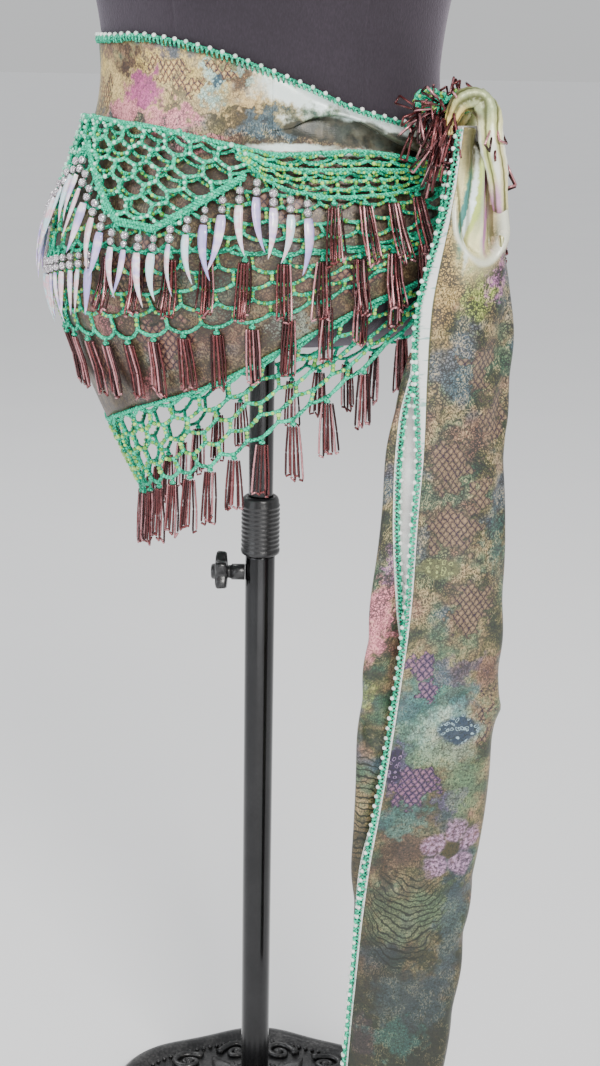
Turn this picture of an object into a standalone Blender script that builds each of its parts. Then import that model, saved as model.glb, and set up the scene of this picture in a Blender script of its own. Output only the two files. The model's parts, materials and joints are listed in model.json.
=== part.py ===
"""Belly dance hip belt, worn on a dress form that stands on a telescopic pole.

A long satin sash is wrapped low round the hips and knotted over the wearer's left hip, and one
end falls from the knot almost to the floor as a folded tube. Crocheted nets lie over the satin in
tiers and hang from its hem, and beaded fringes hang from the nets.

Metres, +Z up. The floor is z = 0, the pole is the Z axis, the front faces -Y and +X is the
viewer's right. Round the hips, an angle is counted from the front (0) towards +X, in degrees.
"""
import math

import bmesh
import bpy

# ---------------------------------------------------------------- driving dimensions
SEAM_GAP = 0.0003            # between pieces that touch
CLOTH = 0.0012               # satin and net thickness
LAYER_STEP = 0.0020          # from one layer's face to the next layer's
COLUMNS = 40                 # facets round the hips
FORM_OFFSET_X = 0.005        # the form's centre line, from the pole's

KNOT_ANGLE = 58.0            # where the sash is tied
KNOT_HEIGHT = 0.833
KNOT_GAP = (42.0, 84.0)      # the stretch behind the knot that carries no fringe

NET_ROWS = 4                 # meshes down the hem net
NET_COLUMNS = 33             # meshes along the hem net
NET_SPAN = (-276.0, 48.0)    # from behind the knot, round the back, to before it
NET_SPLIT = -104.0           # the side seam between the back and front halves
POINT_ROWS = 5               # meshes down one point of the upper net
POINT_COLUMNS = 7            # meshes along one point's top
POINT_SPAN = (-180.0, -6.0)  # three points, from the back to the front
POINT_DROP = 0.062           # from the upper net's top to a point's tip
MESH_OPEN = 0.80             # a mesh's hole as a share of its pitch
NET_TOP = -0.5               # a net's straight top cord, in thirds of a row above its meshes

TASSEL_LENGTH = 0.040
TASSEL_HEAD = 0.004
TASSEL_FOOT = 0.012
TUSK_LENGTH = 0.042
TUSK_WIDTH = 0.004
TUSK_PITCH = 4.8             # degrees
TASSEL_PITCH = 9.0           # degrees
STRIP_HEIGHT = 0.0030        # the thread that fringes hang from
STRIP_GAP = 0.0008           # from a net's edge to that thread

ROD_RADIUS = 0.0094
TUBE_BORE = 0.0097
TUBE_RADIUS = 0.0115
TUBE_TOP = 0.520
COLLAR_RADIUS = 0.0140
COLLAR_TOP = 0.566
ROD_FOOT = 0.150
FORM_BASE = 0.690
BASE_TOP = 0.050
BASE_LOBES = 8
BASE_SIDES = 40
KNOB_HEIGHT = 0.505

# The hips under the satin: height, half width, half depth.
FIGURE = (
    (0.480, 0.0620, 0.0500),
    (0.571, 0.0940, 0.0740),
    (0.622, 0.1170, 0.0910),
    (0.683, 0.1420, 0.1050),
    (0.715, 0.1530, 0.1100),
    (0.740, 0.1560, 0.1120),
    (0.775, 0.1510, 0.1080),
    (0.815, 0.1370, 0.0980),
    (0.850, 0.1245, 0.0905),
    (0.875, 0.1205, 0.0885),
    (0.900, 0.1215, 0.0895),
    (0.930, 0.1255, 0.0940),
)

# Heights of the wrap's edges round the hips: angle, satin rim, top of the upper net, hem of the
# second tier, hem of the third tier, satin hem, hem of the hanging net.
WRAP = (
    (-180, 0.888, 0.838, 0.755, 0.718, 0.690, 0.635),
    (-155, 0.892, 0.840, 0.753, 0.710, 0.672, 0.612),
    (-130, 0.895, 0.842, 0.752, 0.703, 0.654, 0.590),
    (-105, 0.898, 0.844, 0.750, 0.700, 0.638, 0.577),
    (-80, 0.899, 0.846, 0.749, 0.698, 0.629, 0.575),
    (-62, 0.899, 0.846, 0.756, 0.698, 0.637, 0.582),
    (-48, 0.900, 0.844, 0.761, 0.697, 0.646, 0.590),
    (-35, 0.898, 0.842, 0.759, 0.702, 0.655, 0.598),
    (-22, 0.893, 0.837, 0.762, 0.708, 0.665, 0.608),
    (-10, 0.886, 0.832, 0.762, 0.713, 0.678, 0.621),
    (2, 0.877, 0.827, 0.761, 0.720, 0.695, 0.637),
    (14, 0.867, 0.828, 0.763, 0.731, 0.712, 0.655),
    (26, 0.856, 0.829, 0.765, 0.746, 0.729, 0.678),
    (38, 0.849, 0.826, 0.770, 0.758, 0.740, 0.707),
    (50, 0.844, 0.821, 0.778, 0.770, 0.752, 0.732),
    (62, 0.841, 0.818, 0.787, 0.780, 0.762, 0.750),
    (90, 0.850, 0.819, 0.785, 0.772, 0.755, 0.738),
    (112, 0.868, 0.826, 0.772, 0.755, 0.740, 0.702),
    (140, 0.880, 0.832, 0.762, 0.738, 0.716, 0.668),
)
RIM, BAND, TIER_TWO, TIER_THREE, HEM, NET_HEM = 1, 2, 3, 4, 5, 6

# The dress form: height, half width, half depth, shift to the front.
FORM = (
    (FORM_BASE, 0.0850, 0.0600, 0.000),
    (0.698, 0.1180, 0.0830, 0.000),
    (0.715, 0.1490, 0.1060, 0.000),
    (0.740, 0.1535, 0.1095, 0.000),
    (0.775, 0.1485, 0.1055, 0.000),
    (0.815, 0.1347, 0.0957, 0.000),
    (0.850, 0.1228, 0.0888, 0.000),
    (0.875, 0.1191, 0.0871, 0.000),
    (0.900, 0.1207, 0.0887, 0.000),
    (0.930, 0.1255, 0.0940, 0.000),
    (0.980, 0.1380, 0.1040, 0.003),
    (1.035, 0.1480, 0.1150, 0.007),
    (1.090, 0.1500, 0.1060, 0.005),
    (1.145, 0.1600, 0.0880, 0.001),
    (1.185, 0.1450, 0.0760, 0.000),
    (1.215, 0.1050, 0.0650, 0.000),
    (1.237, 0.0680, 0.0570, 0.000),
    (1.265, 0.0560, 0.0520, 0.000),
    (1.300, 0.0540, 0.0510, 0.000),
)

# The hanging end: height, centre x, centre y, half width, half depth, the front edge and the back
# edge as angles round the folded tube from its right side, turn in degrees, drop of the right side.
TAIL = (
    (0.847, 0.141, -0.109, 0.016, 0.010, 145, -160, 30, 0.000),
    (0.798, 0.141, -0.111, 0.022, 0.011, 151, -172, 30, 0.000),
    (0.740, 0.139, -0.111, 0.032, 0.012, 147, -190, 26, 0.000),
    (0.690, 0.136, -0.107, 0.038, 0.013, 132, -200, 22, 0.000),
    (0.652, 0.132, -0.103, 0.042, 0.014, 121, -206, 18, 0.000),
    (0.581, 0.131, -0.096, 0.046, 0.015, 119, -217, 14, 0.000),
    (0.514, 0.130, -0.093, 0.049, 0.016, 117, -234, 11, 0.000),
    (0.436, 0.127, -0.091, 0.051, 0.016, 121, -253, 9, 0.000),
    (0.357, 0.123, -0.090, 0.050, 0.016, 129, -232, 8, 0.000),
    (0.315, 0.121, -0.090, 0.048, 0.016, 137, -213, 8, 0.000),
    (0.274, 0.120, -0.090, 0.045, 0.015, 147, -196, 8, 0.000),
    (0.233, 0.118, -0.090, 0.041, 0.015, 159, -182, 8, 0.004),
    (0.175, 0.114, -0.090, 0.039, 0.014, 166, -174, 8, 0.014),
    (0.124, 0.110, -0.090, 0.038, 0.014, 166, -172, 8, 0.026),
)
FOLD_DEPTH = 0.0012          # slack ripples round the hanging end
TUCK = 0.7                   # how far its back edge turns in behind the front one
TAIL_ROWS = 19
TAIL_COLUMNS = 18
TRIM_RADIUS = 0.0013
RIM_RADIUS = 0.0016

COLOURS = {                  # red, green, blue, metallic, roughness
    "satin": (0.33, 0.29, 0.15, 0.35, 0.35),
    "crochet": (0.04, 0.42, 0.22, 0.0, 0.6),
    "bugles": (0.18, 0.08, 0.06, 0.6, 0.3),
    "tusks": (0.75, 0.68, 0.72, 0.2, 0.25),
    "form": (0.060, 0.048, 0.062, 0.0, 0.85),
    "steel": (0.02, 0.02, 0.02, 0.9, 0.25),
    "plastic": (0.03, 0.03, 0.03, 0.0, 0.4),
}


# ---------------------------------------------------------------- curves and the hip surface
def smooth_row(table, at, period=None):
    """One table row at any value of its first column, on a smooth curve through the rows."""
    rows = list(table)
    if period:
        at = (at - rows[0][0]) % period + rows[0][0]
        before = (rows[-1][0] - period,) + tuple(rows[-1][1:])
        after = [(row[0] + period,) + tuple(row[1:]) for row in rows[:2]]
        rows = [before] + rows + after
    elif rows[0][0] > rows[-1][0]:
        rows.reverse()
    at = min(max(at, rows[0][0]), rows[-1][0])
    last = len(rows) - 1
    k = max(i for i in range(last) if rows[i][0] <= at + 1e-12)
    low, high = rows[k], rows[k + 1]
    span = high[0] - low[0]
    t = (at - low[0]) / span
    under, over = rows[max(k - 1, 0)], rows[min(k + 2, last)]
    result = []
    for c in range(1, len(low)):
        slope_low = (high[c] - under[c]) / (high[0] - under[0]) * span
        slope_high = (over[c] - low[c]) / (over[0] - low[0]) * span
        result.append((2 * t**3 - 3 * t**2 + 1) * low[c] + (t**3 - 2 * t**2 + t) * slope_low
                      + (3 * t**2 - 2 * t**3) * high[c] + (t**3 - t**2) * slope_high)
    return result


def edge(column, angle):
    """The height of one of the wrap's edges at an angle."""
    return smooth_row(WRAP, angle, 360.0)[column - 1]


def cut_edge(column, angle):
    """The same edge as the facets cut it: straight from one facet's corner to the next."""
    step = 360.0 / COLUMNS
    low = math.floor(angle / step) * step
    share = (angle - low) / step
    return edge(column, low) * (1 - share) + edge(column, low + step) * share


def hip(angle, height, out=0.0):
    """A point on the hips, moved out from the surface."""
    half_width, half_depth = smooth_row(FIGURE, height)
    turn = math.radians(angle)
    normal = (math.sin(turn) / half_width, -math.cos(turn) / half_depth)
    length = math.hypot(*normal)
    return (FORM_OFFSET_X + half_width * math.sin(turn) + normal[0] / length * out,
            -half_depth * math.cos(turn) + normal[1] / length * out, height)


def spread(start, end, count):
    """Evenly spaced values, both ends included."""
    return [start + (end - start) * i / (count - 1) for i in range(count)]


# ---------------------------------------------------------------- mesh helpers
def material(kind):
    found = bpy.data.materials.get(kind)
    if found:
        return found
    red, green, blue, metallic, roughness = COLOURS[kind]
    made = bpy.data.materials.new(kind)
    made.use_nodes = True
    shader = made.node_tree.nodes["Principled BSDF"]
    shader.inputs["Base Color"].default_value = (red, green, blue, 1.0)
    shader.inputs["Metallic"].default_value = metallic
    shader.inputs["Roughness"].default_value = roughness
    return made


def solid(name, points, faces, kind, smooth=True):
    """One closed object from points and faces, with its faces turned outwards."""
    mesh = bpy.data.meshes.new(name)
    mesh.from_pydata(points, [], faces)
    shape = bmesh.new()
    shape.from_mesh(mesh)
    bmesh.ops.recalc_face_normals(shape, faces=shape.faces)
    shape.to_mesh(mesh)
    shape.free()
    if smooth:
        mesh.shade_smooth()
        mesh.set_sharp_from_angle(angle=math.radians(40))
    mesh.materials.append(material(kind))
    made = bpy.data.objects.new(name, mesh)
    bpy.context.scene.collection.objects.link(made)
    return made


def wall(name, outer, inner, closed, kind):
    """A wall between two grids of points, outer[column][row] and inner[column][row]."""
    columns, rows = len(outer), len(outer[0])
    points = [p for grid in (outer, inner) for column in grid for p in column]

    def at(face, column, row):
        return face * columns * rows + column % columns * rows + row

    faces = []
    for c in range(columns if closed else columns - 1):
        for r in range(rows - 1):
            for face in (0, 1):
                faces.append((at(face, c, r), at(face, c + 1, r),
                              at(face, c + 1, r + 1), at(face, c, r + 1)))
        for r in (0, rows - 1):
            faces.append((at(0, c, r), at(0, c + 1, r), at(1, c + 1, r), at(1, c, r)))
    if not closed:
        for c in (0, columns - 1):
            for r in range(rows - 1):
                faces.append((at(0, c, r), at(0, c, r + 1), at(1, c, r + 1), at(1, c, r)))
    return solid(name, points, faces, kind)


def skin(name, angles, top, bottom, rows, layer, kind, closed=False):
    """A wall of cloth over the hips between two heights that depend on the angle."""
    grids = []
    for out in (layer * LAYER_STEP + CLOTH, layer * LAYER_STEP):
        grids.append([[hip(angle, z, out) for z in spread(top(angle), bottom(angle), rows + 1)]
                      for angle in angles])
    return wall(name, grids[0], grids[1], closed, kind)


def rings(name, sections, kind, closed_path=False, smooth=True):
    """A solid through rings of points, with flat ends, or joined end to end."""
    count, sides = len(sections), len(sections[0])
    points = [p for section in sections for p in section]
    faces = []
    for i in range(count if closed_path else count - 1):
        for k in range(sides):
            a, b = i * sides, (i + 1) % count * sides
            faces.append((a + k, a + (k + 1) % sides, b + (k + 1) % sides, b + k))
    if not closed_path:
        faces.append(tuple(range(sides)))
        faces.append(tuple((count - 1) * sides + k for k in range(sides)))
    return solid(name, points, faces, kind, smooth)


def turned(name, profile, kind, sides=24, bore=0.0):
    """A solid of revolution about Z: profile rows of radius and height, with a bore or without."""
    rows = list(profile)
    if bore:
        rows += [(bore, rows[-1][1]), (bore, rows[0][1])]
    sections = []
    for radius, height in rows:
        sections.append([(radius * math.cos(2 * math.pi * k / sides),
                          radius * math.sin(2 * math.pi * k / sides), height)
                         for k in range(sides)])
    return rings(name, sections, kind, closed_path=bool(bore))


def cord(name, path, radius, kind, sides=4, closed=False):
    """A thin cord along a path, its section held upright."""
    count = len(path)
    sections = []
    for i, (x, y, z) in enumerate(path):
        before = path[i - 1] if closed or i else path[i]
        after = path[(i + 1) % count] if closed or i + 1 < count else path[i]
        along = [after[k] - before[k] for k in range(3)]
        length = math.sqrt(sum(v * v for v in along))
        along = [v / length for v in along]
        pole = (0.0, 0.0, 1.0) if abs(along[2]) < 0.8 else (0.0, 1.0, 0.0)
        side = cross(along, pole)
        up = cross(side, along)
        ring = []
        for k in range(sides):
            turn = 2 * math.pi * (k + 0.5) / sides
            s, u = math.cos(turn) * radius, math.sin(turn) * radius
            ring.append(tuple(p + side[j] * s + up[j] * u for j, p in enumerate((x, y, z))))
        sections.append(ring)
    return rings(name, sections, kind, closed_path=closed)


def cross(a, b):
    """The unit vector at right angles to two others."""
    v = (a[1] * b[2] - a[2] * b[1], a[2] * b[0] - a[0] * b[2], a[0] * b[1] - a[1] * b[0])
    length = math.sqrt(sum(c * c for c in v))
    return tuple(c / length for c in v)


# ---------------------------------------------------------------- crocheted nets
MESH_CORNERS = ((0, -2), (1, -1), (1, 1), (0, 2), (-1, 1), (-1, -1))   # half pitches, third rows


def net(name, cells, place, kind):
    """A net of six-sided meshes cut through a wall.

    A cell is (column, row), and each odd row lies half a mesh along. place(u, v, face) gives the
    point at u meshes along and v rows down, on the outer (0) or the inner (1) face.
    """
    centres = {cell: (2 * cell[0] + 1 + cell[1] % 2, 2 + 3 * cell[1]) for cell in cells}
    corners, sides, meeting = {}, {}, {}
    for cell, (cu, cv) in centres.items():
        keys = [(cu + du, cv + dv) for du, dv in MESH_CORNERS]
        corners[cell] = keys
        for i, key in enumerate(keys):
            meeting.setdefault(key, []).append((cell, i))
            pair = (key, keys[(i + 1) % 6])
            sides.setdefault(tuple(sorted(pair)), []).append((cell, i))

    points, faces, index = [], [], {}

    def point(tag, u, v):
        index[tag] = len(points)
        points.append(place(u / 2, v / 3, 0))
        points.append(place(u / 2, v / 3, 1))

    for cell, keys in corners.items():
        cu, cv = centres[cell]
        for i, (u, v) in enumerate(keys):
            point((cell, i), cu + (u - cu) * MESH_OPEN, cv + (v - cv) * MESH_OPEN)
    rim = {key for pair, owners in sides.items() if len(owners) == 1 for key in pair}
    for key in rim:
        owners = meeting[key]
        mean_u = sum(centres[cell][0] for cell, _ in owners) / len(owners)
        mean_v = sum(centres[cell][1] for cell, _ in owners) / len(owners)
        push = (1 - MESH_OPEN) * len(owners)
        v = key[1] + (key[1] - mean_v) * push
        point(key, key[0] + (key[0] - mean_u) * push, NET_TOP if key[1] <= 1 else v)

    def both(tags):
        for face in (0, 1):
            faces.append(tuple(index[tag] + face for tag in tags))

    def through(a, b):
        faces.append((index[a], index[b], index[b] + 1, index[a] + 1))

    for pair, owners in sides.items():
        cell, i = owners[0]
        start, end = (cell, i), (cell, (i + 1) % 6)
        if len(owners) == 2:
            other, j = owners[1]
            both((start, end, (other, j), (other, (j + 1) % 6)))
        else:
            first, second = corners[cell][i], corners[cell][(i + 1) % 6]
            both((start, end, second, first))
            through(first, second)
    for key, owners in meeting.items():
        if len(owners) == 3:
            both(owners)
        elif len(owners) == 2:
            both(owners + [key])
    for cell in cells:
        for i in range(6):
            through((cell, i), (cell, (i + 1) % 6))
    return solid(name, points, faces, kind, smooth=False)


def hem_net(name, first, last):
    """Part of the net that hangs from the satin's hem."""
    step = (NET_SPAN[1] - NET_SPAN[0]) / NET_COLUMNS
    depth = NET_ROWS + 1 / 3 + (1 - MESH_OPEN) * 2 / 3 - NET_TOP / 3

    def place(u, v, face):
        angle = NET_SPAN[0] + u * step
        top = cut_edge(HEM, angle) - STRIP_GAP
        height = top - (v - NET_TOP / 3) / depth * (top - edge(NET_HEM, angle))
        return hip(angle, height, 0.0 if face else CLOTH)

    cells = [(c, r) for r in range(NET_ROWS) for c in range(first, last - r % 2)]
    return net(name, cells, place, "crochet")


def point_net():
    """The upper net's open points, which cover the back, the side and the front."""
    points = 3
    step = (POINT_SPAN[1] - POINT_SPAN[0]) / (points * POINT_COLUMNS)
    depth = POINT_ROWS + 1 / 3 + (1 - MESH_OPEN) * 2 / 3 - NET_TOP / 3

    def place(u, v, face):
        angle = POINT_SPAN[0] + u * step
        height = edge(BAND, angle) - (v - NET_TOP / 3) / depth * POINT_DROP
        return hip(angle, height, 3 * LAYER_STEP + (0.0 if face else CLOTH))

    cells = []
    for r in range(POINT_ROWS):
        for p in range(points):
            first = p * POINT_COLUMNS + r // 2
            cells += [(first + c, r) for c in range(POINT_COLUMNS - r)]
    return net("upper_net_points", cells, place, "crochet")


def point_hem(angle):
    """The lower edge of the upper net's points."""
    width = (POINT_SPAN[1] - POINT_SPAN[0]) / 3
    share = (angle - POINT_SPAN[0]) % width / width
    slope = 1.0 - abs(2 * share - 1)
    return edge(BAND, angle) - 0.020 - (POINT_DROP - 0.016) * min(slope * 1.25, 1.0)


def swag_hem(angle):
    """The lower edge of the upper net where it is pulled flat towards the knot."""
    share = (angle - POINT_SPAN[1]) / (KNOT_ANGLE - 8.0 - POINT_SPAN[1])
    if share > 1.0:
        share = (180.0 - angle) / (180.0 - KNOT_ANGLE - 8.0)
    return edge(BAND, angle) - 0.008 - 0.022 * math.sin(math.pi * min(max(share, 0.0), 1.0)) ** 0.7


# ---------------------------------------------------------------- fringes
def fringe(name, angles, line, layer, length, head, foot, kind, lean=0.004, free=False):
    """Strands under one narrow strip: a flat back to the cloth and a ridge in front.

    line gives the strip's lower edge. free strands hang plumb, and others lie down the hips.
    A foot of 0 ends each strand in a point.
    """
    out = layer * LAYER_STEP
    points, faces = [], []

    def add(p):
        points.append(p)
        return len(points) - 1

    def along(angle, metres, height):
        half_width, half_depth = smooth_row(FIGURE, height)
        turn = math.radians(angle)
        return math.degrees(metres / math.hypot(half_width * math.cos(turn),
                                                half_depth * math.sin(turn)))

    strands = []
    for angle in angles:
        z = line(angle)
        half = along(angle, head / 2, z)
        thick = head * 0.6
        a = add(hip(angle - half, z, out))
        b = add(hip(angle + half, z, out))
        o = add(hip(angle, z, out + thick))
        ridge = add(hip(angle, z + STRIP_HEIGHT, out))
        low = z - length
        if free:
            root = hip(angle, z, out)
            normal = [hip(angle, z, out + 1.0)[k] - root[k] for k in range(2)]
            side = (-normal[1], normal[0])
            feet = [tuple([root[k] + side[k] * s + normal[k] * n for k in range(2)] + [low])
                    for s, n in ((-foot / 2, -0.001), (foot / 2, -0.001), (0.0, 0.005))]
        elif foot:
            wide = along(angle, foot / 2, low)
            feet = [hip(angle - wide, low, out + lean), hip(angle + wide, low, out + lean),
                    hip(angle, low, out + lean + 0.005)]
        else:
            feet = [hip(angle, low, out + lean)]
        strands.append((a, b, o, ridge, [add(p) for p in feet]))
    for a, b, o, ridge, feet in strands:
        faces.append((a, b, ridge))
        top = (a, b, o)
        for k in range(3):
            if len(feet) == 3:
                faces.append((top[k], top[(k + 1) % 3], feet[(k + 1) % 3], feet[k]))
            else:
                faces.append((top[k], top[(k + 1) % 3], feet[0]))
        if len(feet) == 3:
            faces.append(tuple(feet))
    for (a, b, o, ridge, _), (a2, _, o2, ridge2, _) in zip(strands, strands[1:]):
        faces.append((b, a2, ridge2, ridge))
        faces.append((o, o2, ridge2, ridge))
        faces.append((b, a2, o))
        faces.append((a2, o2, o))
    first, last = strands[0], strands[-1]
    faces.append((first[0], first[2], first[3]))
    faces.append((last[1], last[2], last[3]))
    return solid(name, points, faces, kind, smooth=False)


def stations(start, end, pitch):
    """Angles at an even pitch that fill a stretch."""
    count = int(abs(end - start) / pitch) + 1
    return spread(start, end, count)


# ---------------------------------------------------------------- the sash
def satin_wrap():
    angles = [360.0 * c / COLUMNS for c in range(COLUMNS)]
    skin("satin_wrap", angles, lambda a: edge(RIM, a), lambda a: edge(HEM, a), 8, 0, "satin",
         closed=True)
    rim = [hip(a, edge(RIM, a) + SEAM_GAP + RIM_RADIUS, RIM_RADIUS) for a in angles]
    cord("rim_trim", rim, RIM_RADIUS, "crochet", closed=True)


def rolled_fold():
    """The slack of the band, rolled over on itself as it runs up to the knot."""
    sections = []
    for share in spread(0.0, 1.0, 10):
        angle = 6.0 + 46.0 * share
        top = edge(RIM, angle) - 0.004
        room = top - edge(BAND, angle) - 0.002
        height = min(room, 0.004 + 0.018 * min(1.0, 2.2 * share))
        thick = 0.0015 + 0.0085 * math.sin(min(1.0, 1.3 * share) * math.pi / 2)
        ring = []
        for lift, out in ((0.0, 0.0), (0.03, 0.55), (0.25, 0.92), (0.55, 1.0), (0.85, 0.75),
                          (1.0, 0.25), (0.97, 0.0)):
            ring.append(hip(angle, top - lift * height, LAYER_STEP + out * thick))
        sections.append(ring)
    rings("satin_fold", sections, "satin")


def tiers():
    half = COLUMNS // 2
    all_round = [360.0 * c / COLUMNS for c in range(COLUMNS)]
    skin("tier_three_net", all_round, lambda a: edge(TIER_TWO, a) + 0.004,
         lambda a: edge(TIER_THREE, a), 3, 1, "crochet", closed=True)
    skin("tier_two_net", all_round, lambda a: edge(BAND, a) - 0.004,
         lambda a: edge(TIER_TWO, a), 4, 2, "crochet", closed=True)
    point_net()
    flat = spread(POINT_SPAN[1] + 1.5, POINT_SPAN[0] + 360.0 - 1.5, half + 1)
    skin("upper_net_swag", flat, lambda a: edge(BAND, a), swag_hem, 2, 3, "crochet")
    seam = round((NET_SPLIT - NET_SPAN[0]) / (NET_SPAN[1] - NET_SPAN[0]) * NET_COLUMNS)
    hem_net("hem_net_back", 0, seam)
    hem_net("hem_net_front", seam + 1, NET_COLUMNS)


def fringes():
    behind, before = KNOT_GAP[1] - 360.0, KNOT_GAP[0]
    under = STRIP_GAP + STRIP_HEIGHT

    def below(column):
        return lambda a: cut_edge(column, a) - under

    step = (NET_SPAN[1] - NET_SPAN[0]) / NET_COLUMNS
    tips = [NET_SPAN[0] + column * step for column in range(1, NET_COLUMNS)]
    tassel = (TASSEL_LENGTH, TASSEL_HEAD, TASSEL_FOOT, "bugles")
    tusk = (TUSK_LENGTH, TUSK_WIDTH, 0.0, "tusks")
    fringe("hem_fringe_back", [a for a in tips if a < NET_SPLIT], below(NET_HEM), 0, *tassel,
           free=True)
    fringe("hem_fringe_front", [a for a in tips if a > NET_SPLIT], below(NET_HEM), 0, *tassel,
           free=True)
    fringe("tier_three_fringe", stations(behind, before, TASSEL_PITCH), below(TIER_THREE), 1,
           *tassel)
    fringe("tier_two_fringe_back", stations(behind, -108.0, TASSEL_PITCH), below(TIER_TWO), 2,
           *tassel, lean=0.009)
    fringe("tier_two_tusks", stations(-101.0, -50.0, TUSK_PITCH), below(TIER_TWO), 2, *tusk)
    fringe("tier_two_fringe_front", stations(-43.0, before, TASSEL_PITCH), below(TIER_TWO), 2,
           *tassel, lean=0.009)
    fringe("upper_tusks", stations(POINT_SPAN[0] + 3.0, 10.0, TUSK_PITCH),
           lambda a: (point_hem(a) if a < POINT_SPAN[1] else swag_hem(a)) - under, 4, *tusk)
    fringe("swag_fringe_front", stations(17.0, before, TASSEL_PITCH * 0.8),
           lambda a: swag_hem(a) - under, 4, *tassel, lean=0.006)
    fringe("swag_fringe_back", stations(KNOT_GAP[1] + 4.0, 176.0, TASSEL_PITCH),
           lambda a: swag_hem(a) - under, 4, *tassel, lean=0.006)


# ---------------------------------------------------------------- the knot and the hanging end
def tail_section(height):
    """The folded tube's open ring at one height: outer and inner points, front edge first."""
    x, y, half_width, half_depth, front, back, turn, drop = smooth_row(TAIL, height)
    path = []
    for angle in spread(math.radians(front), math.radians(back), TAIL_COLUMNS + 1):
        past = max(0.0, -math.pi - angle)
        tuck = 1.0 - TUCK * min(past, 1.0)
        wave = FOLD_DEPTH * math.sin(4 * angle + 30 * height)
        across = half_width * math.cos(angle)
        deep = -(half_depth * tuck + wave) * math.sin(angle)
        path.append((across, deep))
    lean, rise = math.cos(math.radians(turn)), math.sin(math.radians(turn))
    outer, inner = [], []
    for i, (p, q) in enumerate(path):
        before, after = path[max(i - 1, 0)], path[min(i + 1, TAIL_COLUMNS)]
        dp, dq = after[0] - before[0], after[1] - before[1]
        length = math.hypot(dp, dq)
        normal = (dq / length, -dp / length)
        z = height - drop * (1 + p / half_width) / 2
        for ring, inset in ((outer, 0.0), (inner, CLOTH)):
            a, b = p + normal[0] * inset, q + normal[1] * inset
            ring.append((x + a * lean - b * rise, y + a * rise + b * lean, z))
    return outer, inner


def tail():
    heights = spread(TAIL[0][0], TAIL[-1][0], TAIL_ROWS + 1)
    sections = [tail_section(z) for z in heights]
    outer = [[section[0][c] for section in sections] for c in range(TAIL_COLUMNS + 1)]
    inner = [[section[1][c] for section in sections] for c in range(TAIL_COLUMNS + 1)]
    wall("tail", outer, inner, False, "satin")
    for name, column, way in (("tail_front_trim", 0, 1), ("tail_back_trim", TAIL_COLUMNS, -1)):
        path = []
        for section in sections:
            middle = [(a + b) / 2 for a, b in zip(section[0][column], section[1][column])]
            inside = section[0][column + way]
            off = [middle[k] - inside[k] for k in range(2)]
            length = math.hypot(*off)
            reach = (SEAM_GAP + TRIM_RADIUS + 0.0003) / length
            path.append((middle[0] + off[0] * reach, middle[1] + off[1] * reach, middle[2]))
        cord(name, path, TRIM_RADIUS, "crochet")


def knot():
    """The tied satin: a bundle with folds round it, and the end passing over its top."""
    x, y, _ = hip(KNOT_ANGLE, KNOT_HEIGHT, 4 * LAYER_STEP + 0.0223)
    sections = []
    for k in range(9):
        polar = math.pi * (0.06 + 0.88 * k / 8)
        ring = []
        for s in range(14):
            turn = 2 * math.pi * s / 14
            fold = 1.0 + 0.07 * math.cos(3 * turn + 2.0 * polar)
            radius = math.sin(polar) * fold
            ring.append((x + 0.0215 * radius * math.cos(turn),
                         y + 0.0195 * radius * math.sin(turn),
                         KNOT_HEIGHT + 0.025 * math.cos(polar)))
        sections.append(ring)
    rings("knot", sections, "satin")
    arch = ((0.009, 0.0279, 0.011), (-0.005, 0.0318, 0.013), (-0.021, 0.0327, 0.014),
            (-0.034, 0.0270, 0.016), (-0.040, 0.0166, 0.016))    # y and z from the knot, half width
    sections = []
    for i, (dy, dz, half) in enumerate(arch):
        before, after = arch[max(i - 1, 0)], arch[min(i + 1, len(arch) - 1)]
        run = (after[0] - before[0], after[1] - before[1])
        length = math.hypot(*run)
        up = (-run[1] / length, run[0] / length)
        ring = []
        for s in range(10):
            turn = 2 * math.pi * s / 10
            across, lift = half * math.cos(turn), 0.0045 * math.sin(turn)
            ring.append((x + 0.002 - 0.010 * i / 4 + across, y + dy - up[0] * lift,
                         KNOT_HEIGHT + dz - up[1] * lift))
        sections.append(ring)
    rings("knot_loop", sections, "satin")


# ---------------------------------------------------------------- the dress form and its stand
def dress_form():
    sections = []
    for height, half_width, half_depth, forward in FORM:
        ring = []
        for c in range(COLUMNS):
            turn = 2 * math.pi * c / COLUMNS
            ring.append((FORM_OFFSET_X + half_width * math.sin(turn),
                         -half_depth * math.cos(turn) - forward, height))
        sections.append(ring)
    rings("form_torso", sections, "form")
    cap = turned("neck_cap", ((0.0530, 0.0), (0.0550, 0.0027), (0.0540, 0.0097),
                              (0.0420, 0.0177), (0.0200, 0.0217), (0.0060, 0.0227)), "plastic",
                 sides=20)
    cap.location = (FORM_OFFSET_X, 0.0, FORM[-1][0] + SEAM_GAP)


def stand():
    turned("pole_upper", ((ROD_RADIUS, ROD_FOOT), (ROD_RADIUS, FORM_BASE - SEAM_GAP)), "steel",
           sides=16)
    turned("pole_lower", ((TUBE_RADIUS, BASE_TOP + SEAM_GAP), (TUBE_RADIUS, TUBE_TOP)), "steel",
           sides=16, bore=TUBE_BORE)
    turned("pole_collar", ((COLLAR_RADIUS, TUBE_TOP + SEAM_GAP),
                           (COLLAR_RADIUS + 0.001, TUBE_TOP + 0.004),
                           (COLLAR_RADIUS, TUBE_TOP + 0.010), (COLLAR_RADIUS, COLLAR_TOP - 0.004),
                           (COLLAR_RADIUS - 0.002, COLLAR_TOP)), "plastic", sides=16,
           bore=TUBE_BORE)
    base()
    knob()


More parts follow.
